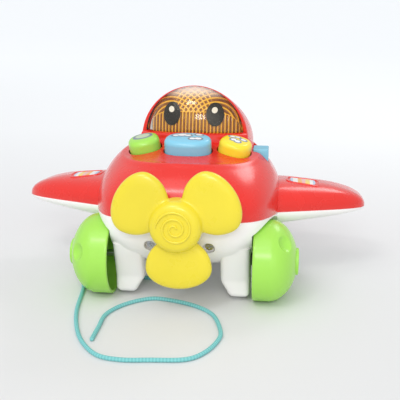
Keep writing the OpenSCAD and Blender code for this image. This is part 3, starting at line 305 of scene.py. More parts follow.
class Nodes:
    """Short ways to add and link the nodes of one material."""

    def __init__(self, name: str) -> None:
        """Starts a material with an empty node tree and its shader."""
        self.material = bpy.data.materials.new(name)
        self.material.use_nodes = True
        self.tree = self.material.node_tree
        self.tree.nodes.clear()
        self.output = self.add("ShaderNodeOutputMaterial")
        self.shader = self.add("ShaderNodeBsdfPrincipled")
        self.link(self.shader.outputs[0], self.output.inputs[0])
        self.place = self.add("ShaderNodeTexCoord").outputs["Object"]

    def add(self, kind: str, **settings: object) -> bpy.types.Node:
        """Adds a node and sets its properties."""
        node = self.tree.nodes.new(kind)
        for key, value in settings.items():
            setattr(node, key, value)
        return node

    def link(self, source: bpy.types.NodeSocket, target: bpy.types.NodeSocket) -> None:
        """Links two sockets."""
        self.tree.links.new(source, target)

    def noise(self, scale: float, detail: float = 2.0, stretch: Sequence[float] = (1, 1, 1)) -> bpy.types.NodeSocket:
        """Noise of a scale per metre on Object coordinates, stretched along an axis if asked."""
        mapping = self.add("ShaderNodeMapping")
        mapping.inputs["Scale"].default_value = tuple(stretch)
        self.link(self.place, mapping.inputs["Vector"])
        node = self.add("ShaderNodeTexNoise")
        node.inputs["Scale"].default_value = scale
        node.inputs["Detail"].default_value = detail
        self.link(mapping.outputs[0], node.inputs["Vector"])
        return node.outputs["Fac"]

    def span(self, value: bpy.types.NodeSocket, low: float, high: float,
             start: float = 0.3, end: float = 0.7) -> bpy.types.NodeSocket:
        """Maps a value from start..end to low..high."""
        node = self.add("ShaderNodeMapRange")
        for key, number in (("From Min", start), ("From Max", end), ("To Min", low), ("To Max", high)):
            node.inputs[key].default_value = number
        self.link(value, node.inputs["Value"])
        return node.outputs[0]

    def times(self, a: bpy.types.NodeSocket, b: bpy.types.NodeSocket) -> bpy.types.NodeSocket:
        """The product of two values."""
        node = self.add("ShaderNodeMath", operation="MULTIPLY")
        self.link(a, node.inputs[0])
        self.link(b, node.inputs[1])
        return node.outputs[0]

    def ramp(self, value: bpy.types.NodeSocket, stops: Sequence[tuple[float, Colour]],
             steps: str = "LINEAR") -> bpy.types.NodeSocket:
        """Turns a value into colours at given stops."""
        node = self.add("ShaderNodeValToRGB")
        band = node.color_ramp
        band.interpolation = steps
        while len(band.elements) < len(stops):
            band.elements.new(1.0)
        for element, (at, colour) in zip(band.elements, stops):
            element.position = at
            element.color = (*colour, 1)
        self.link(value, node.inputs["Fac"])
        return node.outputs["Color"]

    def mix(self, factor: bpy.types.NodeSocket, a: bpy.types.NodeSocket | Colour,
            b: bpy.types.NodeSocket | Colour, blend: str = "MIX") -> bpy.types.NodeSocket:
        """Mixes two colours by a factor."""
        node = self.add("ShaderNodeMix", data_type="RGBA", blend_type=blend)
        self.link(factor, node.inputs["Factor"])
        for socket, value in ((node.inputs[6], a), (node.inputs[7], b)):
            if isinstance(value, bpy.types.NodeSocket):
                self.link(value, socket)
            else:
                socket.default_value = (*value, 1)
        return node.outputs[2]

    def shade(self) -> bpy.types.NodeSocket:
        """The number that a piece's own mesh holds at each point."""
        return self.add("ShaderNodeAttribute", attribute_name="shade").outputs["Fac"]

    def bump(self, height: bpy.types.NodeSocket, strength: float, distance: float) -> None:
        """Raises the surface by a height."""
        node = self.add("ShaderNodeBump")
        node.inputs["Strength"].default_value = strength
        node.inputs["Distance"].default_value = distance
        self.link(height, node.inputs["Height"])
        self.link(node.outputs[0], self.shader.inputs["Normal"])


def scaled(colour: Colour, share: float) -> Colour:
    """A colour made lighter or darker by a share."""
    return tuple(min(1.0, c * share) for c in colour)


@dataclass(frozen=True)
class Finish:
    """A finish with a written colour.

    Attributes:
        name: Name of the material.
        hue: The colour as it is written for a screen.
        roughness: Mean roughness.
    """

    name: str
    hue: str = "#808080"
    roughness: float = 0.35

    def material(self) -> bpy.types.Material:
        """The finish's material, made once."""
        known = bpy.data.materials.get(self.name)
        if known:
            return known
        nodes = Nodes(self.name)
        self.lay(nodes)
        return nodes.material

    def lay(self, nodes: Nodes) -> None:
        """Sets up the shader."""
        nodes.link(nodes.ramp(nodes.noise(40), [(0.3, scaled(linear(self.hue), 0.94)), (0.7, linear(self.hue))]),
                   nodes.shader.inputs["Base Color"])
        nodes.shader.inputs["Roughness"].default_value = self.roughness


@dataclass(frozen=True)
class MouldedPlastic(Finish):
    """Moulded toy plastic: a faint drift of colour, fine grain, soft sheen marks and paler worn edges.

    Attributes:
        coat: Weight of the clear gloss on top.
        grain: Depth of the fine grain.
        worn: Share by which worn edges are paler.
        specks: Whether small grey specks of dirt show.
    """

    coat: float = 0.25
    grain: float = 0.00003
    worn: float = 0.12
    specks: bool = False

    def lay(self, nodes: Nodes) -> None:
        """Colour from two noises, paler edges from the mesh's own sharpness, and bump from fine noise."""
        base = linear(self.hue)
        drift = nodes.ramp(nodes.noise(22, 3), [(0.3, scaled(base, 0.95)), (0.7, scaled(base, 1.03))])
        edge = nodes.span(nodes.add("ShaderNodeNewGeometry").outputs["Pointiness"], 0, self.worn, 0.52, 0.6)
        colour = nodes.mix(edge, drift, (1.0, 0.97, 0.94))
        if self.specks:
            dots = nodes.add("ShaderNodeTexVoronoi", feature="F1")
            dots.inputs["Scale"].default_value = 55
            nodes.link(nodes.place, dots.inputs["Vector"])
            colour = nodes.mix(nodes.span(dots.outputs["Distance"], 0.5, 0, 0.012, 0.022), colour, (0.25, 0.22, 0.2))
        nodes.link(colour, nodes.shader.inputs["Base Color"])
        nodes.link(nodes.span(nodes.noise(90, 4), self.roughness * 0.85, self.roughness * 1.2),
                   nodes.shader.inputs["Roughness"])
        nodes.shader.inputs["Coat Weight"].default_value = self.coat
        nodes.shader.inputs["Coat Roughness"].default_value = 0.18
        nodes.shader.inputs["IOR"].default_value = 1.46
        nodes.bump(nodes.noise(1300, 2), 0.25, self.grain)


@dataclass(frozen=True)
class PlatedSteel(Finish):
    """Plated steel with fine lengthwise scratches."""

    def lay(self, nodes: Nodes) -> None:
        """Colour and roughness from a noise stretched along X."""
        base = linear(self.hue)
        streak = nodes.noise(700, 3, (0.08, 1, 1))
        nodes.link(nodes.ramp(streak, [(0.3, scaled(base, 0.85)), (0.7, base)]), nodes.shader.inputs["Base Color"])
        nodes.link(nodes.span(streak, 0.22, 0.38), nodes.shader.inputs["Roughness"])
        nodes.shader.inputs["Metallic"].default_value = 1.0
        nodes.bump(streak, 0.2, 0.00002)


@dataclass(frozen=True)
class ClearLens(Finish):
    """A thin clear skin: what lies behind shows through, windows mirror in it and a pale painted sheen lies on its
    top.
    """

    def lay(self, nodes: Nodes) -> None:
        """A see-through tint under a mirror that grows towards grazing angles, and a painted pale sheen where it faces
        up, which stands in for the reflection of the bright sky.
        """
        base = linear(self.hue)
        clear = nodes.add("ShaderNodeBsdfTransparent")
        nodes.link(nodes.ramp(nodes.noise(30), [(0.3, scaled(base, 0.97)), (0.7, base)]), clear.inputs["Color"])
        mirror = nodes.add("ShaderNodeBsdfGlossy")
        nodes.link(nodes.span(nodes.noise(60, 3), 0.03, 0.09), mirror.inputs["Roughness"])
        fresnel = nodes.add("ShaderNodeFresnel")
        fresnel.inputs["IOR"].default_value = 1.33
        wave = nodes.add("ShaderNodeBump")
        wave.inputs["Strength"].default_value = 0.5
        wave.inputs["Distance"].default_value = 0.0006
        nodes.link(nodes.noise(90, 1), wave.inputs["Height"])
        nodes.link(wave.outputs[0], mirror.inputs["Normal"])
        seen = nodes.add("ShaderNodeLightPath").outputs["Is Camera Ray"]
        upward = nodes.add("ShaderNodeSeparateXYZ")
        nodes.link(nodes.add("ShaderNodeNewGeometry").outputs["Normal"], upward.inputs[0])
        nodes.shader.inputs["Base Color"].default_value = (1.0, 0.95, 0.9, 1)
        nodes.shader.inputs["Roughness"].default_value = 0.3
        shader = clear.outputs[0]
        # the second mix paints a pale sheen, seen by the camera only, on the faces turned up: a painted reflection of
        # the bright sky
        for factor, other in ((fresnel.outputs[0], mirror.outputs[0]),
                              (nodes.span(upward.outputs["Z"], 0.0, 0.5, 0.54, 0.70), nodes.shader.outputs[0])):
            mixed = nodes.add("ShaderNodeMixShader")
            nodes.link(nodes.times(factor, seen), mixed.inputs[0])
            nodes.link(shader, mixed.inputs[1])
            nodes.link(other, mixed.inputs[2])
            shader = mixed.outputs[0]
        nodes.link(shader, nodes.output.inputs[0])


@dataclass(frozen=True)
class ShadedFinish(Finish):
    """A finish whose colour follows the number in the piece's own mesh, such as ribs, strands or stripes. Where the
    number is a height, as on ribs and strands, the colour paints highlight on the tops and shade in the grooves.

    Attributes:
        stops: Places and written colours along the number.
        steps: How the colours change between the stops.
        metal: Share of metal.
        weave: Depth of the fine weave.
        coat: Weight of the clear coat.
    """

    stops: tuple[tuple[float, str], ...] = ((0.0, "#000000"), (1.0, "#ffffff"))
    steps: str = "LINEAR"
    metal: float = 0.0
    weave: float = 0.00002
    coat: float = 0.0

    def lay(self, nodes: Nodes) -> None:
        """Colour from the mesh's number, varied a little by noise, and bump from fine noise."""
        stops = [(at, linear(code)) for at, code in self.stops]
        colour = nodes.ramp(nodes.shade(), stops, self.steps)
        colour = nodes.mix(nodes.span(nodes.noise(120, 3), 0, 0.18), colour, scaled(stops[-1][1], 0.8))
        nodes.link(colour, nodes.shader.inputs["Base Color"])
        nodes.link(nodes.span(nodes.noise(200), self.roughness * 0.85, self.roughness * 1.15),
                   nodes.shader.inputs["Roughness"])
        nodes.shader.inputs["Metallic"].default_value = self.metal
        nodes.shader.inputs["Coat Weight"].default_value = self.coat
        nodes.bump(nodes.noise(2500, 2), 0.3, self.weave)


class Look:
    """The finishes of this toy, one for each of its materials."""

    RED = MouldedPlastic("red_plastic", "#e6261b", 0.26, coat=0.5, worn=0.0)
    WHITE = MouldedPlastic("white_plastic", "#fffbfa", 0.36, coat=0.2, worn=0.0, specks=True)
    GREEN = MouldedPlastic("green_plastic", "#80b246", 0.34, worn=0.04)
    BLUE = MouldedPlastic("blue_plastic", "#74ccdf", 0.34, worn=0.04)
    YELLOW = MouldedPlastic("yellow_plastic", "#ecda38", 0.3, worn=0.04, coat=0.35)
    PROPELLER = MouldedPlastic("propeller_plastic", "#ecd830", 0.3, worn=0.04, coat=0.35)
    BLACK = MouldedPlastic("eye_black", "#141518", 0.3, worn=0.0)
    PRINT_WHITE = MouldedPlastic("print_white", "#f1f3f4", 0.4, worn=0.0, coat=0.1)
    PRINT_GREY = MouldedPlastic("print_grey", "#7f8a99", 0.4, worn=0.0, coat=0.1)
    PRINT_SAGE = MouldedPlastic("print_sage", "#bfd0ae", 0.4, worn=0.0, coat=0.1)
    LENS = ClearLens("clear_lens", "#fffcf6", 0.05)
    # GOLD's stops paint the ribs: dark brown as painted shade between them, bright gold as painted highlight on their
    # tops, over the gold's own colour
    GOLD = ShadedFinish("ribbed_gold_painted_light", "#c98a20", 0.3, stops=((0.0, "#7c3f12"), (0.35, "#96551a"), (0.9, "#ffc636")),
                        metal=0.0, coat=0.3)
    STRIPES = ShadedFinish("label_stripes", "#f6efc8", 0.4, steps="CONSTANT", coat=0.3, stops=(
        (0.0, "#b9cfe6"), (0.1, "#f4f4ee"), (0.3, "#f5b04c"), (0.46, "#f3b7b4"), (0.6, "#f8d768"), (0.78, "#f4f4ee"),
        (0.9, "#b9cfe6")))
    # CORD's stops follow the braid's height: darker in the dips as painted shade, paler on the strand tops as painted
    # highlight
    CORD = ShadedFinish("braided_cord_painted_shade", "#7dc8c8", 0.75, stops=((0.0, "#62b0b1"), (0.5, "#78c4c4"), (1.0, "#8fd6d4")),
                        weave=0.00006)
    STEEL = PlatedSteel("plated_steel", "#b9bcc0", 0.3)
    RUBBER = MouldedPlastic("switch_rubber", "#d8d8d6", 0.75, coat=0.0, worn=0.0)
    GREY = MouldedPlastic("grey_plastic", "#5c5e61", 0.5, coat=0.0)
    BOARD = MouldedPlastic("circuit_board", "#2f6b46", 0.45, coat=0.2, worn=0.0)
    SLEEVE = MouldedPlastic("cell_sleeve", "#6f7c86", 0.35, coat=0.2, worn=0.0)
    LAMP = MouldedPlastic("lamp_cover", "#f4f1e6", 0.5, coat=0.0, worn=0.0)


# ---------------------------------------------------------------- the studio
@dataclass
class Studio:
    """The camera at the photograph's angle, the pale floor and the soft light."""

    eye: tuple[float, float, float] = (0.0739, -0.5984, 0.2380)
    back: tuple[float, float, float] = (0.1116, -0.9498, 0.2924)
    roll: float = 0.25
    lens: float = 66.6
    floor_half: float = 9.0
    # paper, depth, glow and glow_depth paint light on the floor: its colour grows paler and faintly glows far from the
    # camera
    paper: tuple[tuple[float, str], ...] = ((0.0, "#d6d6d6"), (0.3, "#e4e4e4"), (0.6, "#f2f3f4"), (1.0, "#f6f8fa"))
    depth: tuple[float, float] = (-0.5, 1.2)
    glow: float = 0.13
    glow_depth: tuple[float, float] = (0.1, 1.5)
    sky: tuple[float, float, float, float] = (0.96, 0.98, 1.0, 1)
    sky_strength: float = 0.72
    target: tuple[float, float, float] = (0, -0.03, 0.06)
    suns: tuple[tuple[str, float, float, tuple[float, float, float]], ...] = (
        ("key", 0.6, 50, (-0.35, -0.75, 1.25)), ("fill", 0.4, 60, (0.2, -1.0, 0.3)))
    windows: tuple[tuple[str, float, tuple[float, float], tuple[float, float, float]], ...] = (
        ("window", 1.6, (0.34, 0.12), (-0.22, -0.75, 0.95)),
        ("front_window", 1.5, (0.30, 0.14), (0.095, -0.92, 0.56)),
        ("back_window", 1.6, (0.4, 0.3), (0.5, 0.7, 0.9)))

    def camera(self) -> None:
        """Places the camera, which looks along -back and is turned a little about its own axis."""
        data = bpy.data.cameras.new("camera")
        data.lens = self.lens
        data.sensor_width = 36
        data.clip_end = 50
        z = Vector(self.back).normalized()
        x = Vector((0, 0, 1)).cross(z).normalized()
        turn = Matrix((x, z.cross(x), z)).transposed() @ Matrix.Rotation(math.radians(self.roll), 3, "Z")
        camera = bpy.data.objects.new("camera", data)
        camera.matrix_world = Matrix.Translation(self.eye) @ turn.to_4x4()
        bpy.context.scene.collection.objects.link(camera)
        bpy.context.scene.camera = camera

    def floor(self) -> None:
        """A wide sheet whose colour is painted paler away from the camera, a painted falloff of light, with a faint
        painted glow far behind the toy.
        """
        edge = np.linspace(-self.floor_half, self.floor_half, 2)
        x, y = np.meshgrid(edge, edge)
        floor = new_object("floor", [Patch(points(x, y, 0 * x), ring=False, capped=False)], Weld.SHEET)
        nodes = Nodes("floor_paper")
        split = nodes.add("ShaderNodeSeparateXYZ")
        nodes.link(nodes.place, split.inputs[0])
        depth = nodes.span(split.outputs["Y"], 0, 1, *self.depth)
        nodes.link(nodes.ramp(depth, [(at, linear(code)) for at, code in self.paper]),
                   nodes.shader.inputs["Base Color"])
        nodes.shader.inputs["Emission Color"].default_value = self.sky
        nodes.link(nodes.span(split.outputs["Y"], 0.0, self.glow, *self.glow_depth),
                   nodes.shader.inputs["Emission Strength"])
        nodes.shader.inputs["Roughness"].default_value = 0.9
        nodes.shader.inputs["Specular IOR Level"].default_value = 0.1
        floor.data.materials.append(nodes.material)

    def lights(self) -> None:
        """An even white world, a very soft key from above the camera, a low fill, and windows for highlights."""
        world = bpy.data.worlds.new("studio")
        world.use_nodes = True
        tree = world.node_tree
        tree.nodes["Background"].inputs["Color"].default_value = self.sky
        tree.nodes["Background"].inputs["Strength"].default_value = self.sky_strength
        bpy.context.scene.world = world
        for name, energy, angle, where in self.suns:
            lamp = bpy.data.lights.new(name, "SUN")
            lamp.energy = energy
            lamp.angle = math.radians(angle)
            self.aim(name, lamp, Vector(where))
        for name, energy, size, where in self.windows:
            lamp = bpy.data.lights.new(name, "AREA")
            lamp.shape = "RECTANGLE"
            lamp.size, lamp.size_y = size
            lamp.energy = energy
            self.aim(name, lamp, Vector(where))

    def aim(self, name: str, lamp: bpy.types.Light, where: Vector) -> None:
        """Places a lamp and points it at the toy's middle."""
        thing = bpy.data.objects.new(name, lamp)
        thing.location = where
        thing.rotation_euler = (where - Vector(self.target)).to_track_quat("Z", "Y").to_euler()
        bpy.context.scene.collection.objects.link(thing)


# ---------------------------------------------------------------- the pull cord
@dataclass
class PullCord:
    """The braided cord on the floor, from its grommet under the nose to its bare end."""

    diameter: float = 0.003
    length: float = 0.5019
    exit: tuple[float, float, float] = (0.0, -0.056, 0.0208)
    route: tuple[tuple[float, float], ...] = (
        (-12, -53.5), (-25, -51), (-42, -50), (-60, -49.5), (-75, -52), (-82, -60), (-81, -70), (-78.5, -81),
        (-73.5, -116.5), (-65.5, -144.5), (-55.5, -165), (-42, -180), (-26, -184), (-7, -182), (15.5, -178.5),
        (27, -167.5), (34, -149.5), (34, -135), (26.5, -112), (12, -98.5), (-8.5, -90.5), (-24, -90), (-40.5, -102),
        (-50.5, -120), (-51, -141), (-51, -160.5))
    around: int = 28
    pitch: float = 0.0022

    def path(self) -> np.ndarray:
        """A smooth curve through the route's points, held on or above the floor."""
        start = [(0, -56, 20.8), (0, -56, 14), (-3, -55.5, 6)]
        knots = np.array(start + [(x, y, 1.5) for x, y in self.route]) * 0.001
        padded = np.concatenate([knots[:1], knots, knots[-1:]])
        a, b, c, d = padded[:-3], padded[1:-2], padded[2:-1], padded[3:]
        t = (np.arange(60) / 60)[None, :, None]
        a, b, c, d = (v[:, None, :] for v in (a, b, c, d))
        curve = b + t * (c - a) / 2 + t ** 2 * (2 * a - 5 * b + 4 * c - d) / 2 + t ** 3 * (3 * b - a - 3 * c + d) / 2
        curve = np.concatenate([curve.reshape(-1, 3), knots[-1:]])
        curve[:, 2] = np.maximum(curve[:, 2], self.diameter / 2)
        steps = np.r_[0, np.cumsum(np.linalg.norm(np.diff(curve, axis=0), axis=1))]
        even = np.linspace(0, steps[-1], 1500)
        return np.stack([np.interp(even, steps, curve[:, k]) for k in range(3)], axis=-1)

    def build(self) -> None:
        """A tube whose radius swells over each strand of the braid and closes round at both ends."""
        path = self.path()
        along = np.gradient(path, axis=0)
        along /= np.linalg.norm(along, axis=1, keepdims=True)
        flat = np.linalg.norm(along[:, :2], axis=1, keepdims=True)
        level = points(along[:, 1], -along[:, 0], 0)
        lying = ease(flat, 0.02, 0.3)
        mixed = level / np.maximum(flat, 1e-6) * lying + np.array([0, 1.0, 0]) * (1 - lying)
        side = mixed / np.linalg.norm(mixed, axis=1, keepdims=True)
        up = np.cross(side, along)
        done = np.linspace(0, self.length, len(path))[:, None]
        v = turns(self.around)[None, :]
        lean = FULL_TURN * done / self.pitch / 2
        weave = 0.5 + 0.5 * np.sin(4 * v + lean) * np.sin(4 * v - lean)
        end = np.minimum(done, self.length - done) / (self.diameter / 2)
        close = np.sqrt(1 - (1 - np.clip(end, 0.0, 1)) ** 2)
        radius = (self.diameter / 2) * (0.96 + 0.04 * weave) * np.clip(close, 0.05, 1)
        grid = (path[:, None] + (radius * np.cos(v))[..., None] * side[:, None]
                + (radius * np.sin(v))[..., None] * up[:, None])
        # the weave also sets the colour: painted shade in the dips between strands, painted highlight on their tops
        piece = new_object("cord", [Patch(grid, value=weave)])
        dress(piece, [Look.CORD], "chassis", ["pull_cord"])


# ---------------------------------------------------------------- the fuselage
@dataclass(frozen=True)
class Hull:
    """The shape of the fuselage: its plan, its inclined parting plane, its deck and its belly."""

    half_w: float = 0.0725
    middle: float = -0.0305
    nose_len: float = 0.072
    tail_len: float = 0.148
    nose_n: float = 8
    deck_n: float = 2.6
    belly_n: float = 5
    tail_n: float = 2
    taper: float = 0.26
    shoulder_m: float = 3
    belly_m: float = 2.5
    crease: float = 0.0545
    flat_share: float = 0.45
    deck_draw: float = 1.35
    belly_draw: float = 1.17
    narrow: float = 0.28
    narrow_start: float = -0.035
    narrow_len: float = 0.025
    wall: float = 0.0025
    crown: float = 0.0075
    rise: float = 0.14
    bead: float = 0.0009
    parting_z: float = 0.0567
    parting_fall: float = 0.12
    deck_z: float = 0.116
    bend_start: float = -0.0105
    bend_len: float = 0.020
    bend_rate: float = 12.0
    belly_z: float = 0.022
    belly_start: float = 0.03
    belly_rate: float = 1.5

    def parting(self, y: np.ndarray) -> np.ndarray:
        """Height of the parting plane, which rises towards the nose."""
        return self.parting_z - self.parting_fall * y

    def spine(self, y: np.ndarray) -> np.ndarray:
        """Height of the deck's middle line, which bends down under the hood and then falls straight."""
        v = np.maximum(0, y - self.bend_start)
        w = np.minimum(v, self.bend_len)
        return self.deck_z + self.rise * y - self.bend_rate * w * (2 * v - w)

    def deck(self, x: np.ndarray, y: np.ndarray) -> np.ndarray:
        """Height of the crowned button deck."""
        return self.spine(y) - self.crown * (x / self.crease) ** 2

    def belly(self, y: np.ndarray) -> np.ndarray:
        """Height of the flat belly, which rises towards the tail."""
        return self.belly_z + self.belly_rate * np.maximum(0, y - self.belly_start) ** 2

    def plan(self, angle: np.ndarray, s: np.ndarray | float, t: float, up: bool) -> tuple[np.ndarray, np.ndarray]:
        """The plan's outline, drawn in by a share s and moved in by a depth t.

        The nose is blunt at the parting plane and rounder at the deck or belly, x loses taper * y^2 towards
        the front, and the deck narrows by narrow * v^2 / (v^2 + narrow_len^2) behind narrow_start.

        Args:
            angle: Angles round the outline.
            s: Share of the full plan.
            t: Depth under the outer skin.
            up: Whether this is the upper shell.

        Returns:
            The two coordinates of each point.
        """
        front = np.sin(angle) < 0
        k = np.clip((1 - s) / (1 - self.crease / self.half_w), 0, 1)
        far = self.deck_n if up else self.belly_n
        x, y = round_square(angle, np.where(front, self.nose_n + (far - self.nose_n) * k, self.tail_n))
        reach = np.where(front, self.nose_len, self.tail_len) - t
        x = (self.half_w - t) * s * x * np.where(front, 1 - self.taper * y ** 2, 1)
        y = self.middle + reach * s ** (self.deck_draw if up else self.belly_draw) * y
        v = np.maximum(0, y - self.narrow_start) ** 2
        return x * (1 - up * self.narrow * k * v / (v + self.narrow_len ** 2)), y

    def upper(self, t: float = 0.0, around: int = 240, rows: int = 44) -> np.ndarray:
        """Rows from the parting plane over the shoulder, round the crease and in to the deck's middle.

        On the shoulder |s|^m + |w|^m = 1, where s draws the plan in and w / w_last lifts it to the deck.
        """
        angle = turns(around)[None, :]
        share = self.crease / self.half_w
        last = (1 - share ** self.shoulder_m) ** (1 / self.shoulder_m)

        def shoulder(psi: np.ndarray) -> np.ndarray:
            """Rows of the shoulder, one for each angle on its section."""
            s, w = round_square(psi[:, None], self.shoulder_m)
            x, y = self.plan(angle, s, t, True)
            foot = self.parting(y)
            return points(x, y, foot + (self.deck(x, y) - t - foot) * w / last)

        def top(c: np.ndarray) -> np.ndarray:
            """Rows of the deck, one for each share of the crease's outline."""
            x, y = self.plan(angle, share * c[:, None], t, True)
            return points(x, y, self.deck(x, y) - t)

        end = math.atan2(last, share)
        side, flat = shoulder(np.linspace(0, 0.93 * end, rows)), top(np.linspace(0.955, 0.02, 26))
        edge = bend(side[-1], top(np.array([1.0]))[0], flat[0], 9)
        lift = np.sin(np.linspace(0.1, 0.9, 9) * math.pi) ** 2
        edge[..., 2] += self.bead * lift[:, None] * (1 - ease(edge[..., 1], -0.05, -0.02))
        return np.concatenate([side, edge, flat])

    def lower(self, t: float = 0.0, around: int = 240, rows: int = 44) -> np.ndarray:
        """Rows from the parting plane down round the bilge and in to the belly's middle, worked out the same way."""
        angle = turns(around)[None, :]
        last = (1 - self.flat_share ** self.belly_m) ** (1 / self.belly_m)

        def bilge(psi: np.ndarray) -> np.ndarray:
            """Rows of the bilge, one for each angle on its section."""
            s, w = round_square(psi[:, None], self.belly_m)
            x, y = self.plan(angle, s, t, False)
            top = self.parting(y)
            return points(x, y, top - (top - t - self.belly(y)) * w / last)

        def under(c: np.ndarray) -> np.ndarray:
            """Rows of the flat belly, one for each share of its outline."""
            x, y = self.plan(angle, self.flat_share * c[:, None], t, False)
            return points(x, y, self.belly(y) + t)

        end = math.atan2(last, self.flat_share)
        side, flat = bilge(np.linspace(0, 0.95 * end, rows)), under(np.linspace(0.9, 0.02, 14))
        return np.concatenate([side, bend(side[-1], under(np.array([1.0]))[0], flat[0], 5), flat])

    def solid(self, t: float, name: str = "hull_cutter") -> bpy.types.Object:
        """The whole fuselage as one closed solid, moved in by t, used to trim what seats on it."""
        low, high = self.lower(t, 160, 24), self.upper(t, 160, 24)
        return new_object(name, [Patch(np.concatenate([low[::-1], high[1:]]))])


def chamfered(rows: np.ndarray, inset: np.ndarray, step: float) -> np.ndarray:
    """Puts a small chamfer on a surface's first row, so that a fine groove shows where two halves meet."""
    second = rows[0] + np.array([0, 0, step])
    return np.concatenate([inset[:1], second[None], rows[1:]])


@dataclass(frozen=True)
class Seat:
    """Axes of something that stands square on the deck: an origin and three directions."""

    origin: np.ndarray
    axes: np.ndarray

    def place(self, local: np.ndarray) -> np.ndarray:
        """Takes local points to the toy's axes."""
        return self.origin + local @ self.axes.T

    def patch(self, patch: Patch) -> Patch:
        """Takes a local patch to the toy's axes."""
        return Patch(self.place(patch.grid), patch.ring, patch.capped, patch.material, patch.value)


def turned(about: str, angle: float) -> np.ndarray:
    """A turn about an axis by an angle in radians, as a matrix."""
    return np.array(Matrix.Rotation(angle, 3, about))


def deck_seat(hull: Hull, x: float, y: float, turn: float = 0.0) -> Seat:
    """A seat square to the deck at a place, turned about its own upright by an angle in degrees."""
    normal = np.array([2 * hull.crown * x / hull.crease ** 2, -hull.rise, 1.0])
    normal /= np.linalg.norm(normal)
    axes = (turned("Y", math.atan2(normal[0], normal[2])) @ turned("X", math.asin(-normal[1]))
            @ turned("Z", math.radians(turn)))
    return Seat(np.array([x, y, float(hull.deck(x, y))]), axes)


@dataclass
class Track:
    """The slide switch's recessed track beside the deck."""

    hull: Hull
    front: float = -0.032
    knob_len: float = 0.014
    travel: float = 0.010
    end: float = 0.0016
    inner: float = 0.0485
    outer: float = 0.064
    slope: float = 0.62
    lip: float = 0.001
    floor_t: float = 0.0015
    slot_x: tuple[float, float] = (0.0515, 0.0555)
    slot_y: tuple[float, float] = (0.0036, 0.0204)
    knob_x: tuple[float, float] = (0.049, 0.061)
    knob_top: float = 0.003
    knob_gap: float = 0.0004
    knob_round: float = 0.0006
    grip: float = 0.0004
    stem_low: tuple[float, float, float] = (0.0519, 0.004, -0.0166)
    stem_high: tuple[float, float, float] = (0.0551, 0.010, 0.0)

    def seat(self) -> Seat:
        """Axes of the level track: y runs along it, and z = 0 is the crease in front of the knob."""
        return Seat(np.array([0.0, self.front, float(self.hull.deck(self.hull.crease, self.front))]), np.eye(3))

    def floor(self, x: float) -> float:
        """Height of the pocket's floor at a distance across."""
        return -self.slope * (x - self.inner)

    def prism(self, low: float, high: float, y0: float, y1: float) -> Patch:
        """A prism along the track from one height over its floor to another."""
        x0, x1 = self.inner, self.outer
        ring = np.array([[x0, self.floor(x0) + low], [x1, self.floor(x1) + low], [x1, self.floor(x1) + high],
                         [x0, self.floor(x0) + high]])
        return self.seat().patch(Patch(np.stack([points(ring[:, 0], y, ring[:, 1]) for y in (y0, y1)])))

    def slot(self, high: float) -> Patch:
        """The cutter for the slot in the floor, up to a height."""
        (x0, x1), (y0, y1) = self.slot_x, self.slot_y
        return self.seat().patch(slab((x0, y0, -0.015), (x1, y1, high)))

    def pocket(self) -> list[Patch]:
        """Cutters for the pocket and for the slot in its floor."""
        far = self.knob_len + self.travel + self.end - self.lip
        return [self.prism(0.0, 0.024, self.lip - self.end, far), self.slot(0.0)]

    def tray(self) -> bpy.types.Object:
        """The red floor of the pocket with its slot, trimmed to the fuselage."""
        tray = new_object("switch_tray", [self.prism(0.0, -self.floor_t, -self.end,
                                                     self.knob_len + self.travel + self.end)])
        cut(tray, [self.hull.solid(0.0003)], "INTERSECT")
        cut(tray, [new_object("slot", [self.slot(0.003)])])
        return tray

    def knob(self) -> bpy.types.Object:
        """The blue knob: its section is carried along the track, and a bevel rounds its edges."""
        (x0, x1), top, gap, r = self.knob_x, self.knob_top, self.knob_gap, self.knob_round
        ring = np.array([[x0, self.floor(x0) + gap], [x1, self.floor(x1) + gap], [x1, top - r], [x1 - r, top],
                         [x0, top]])
        rows = np.linspace(0, self.knob_len, 9)
        ribs = np.where(np.arange(9) % 2 == 1, -self.grip, 0.0)
        section = np.repeat(ring[None], 9, axis=0)
        section[:, 2:, 1] += ribs[:, None]
        grid = points(section[..., 0], rows[:, None], section[..., 1])
        stem = slab(self.stem_low, self.stem_high)
        seat = self.seat()
        piece = new_object("slide_knob", [seat.patch(Patch(grid)), seat.patch(stem)])
        bevel = piece.modifiers.new("edges", "BEVEL")
        bevel.width = 0.0007
        bevel.segments = 3
        bevel.limit_method = "ANGLE"
        settle(piece)
        shade_smooth(piece.data)
        return piece


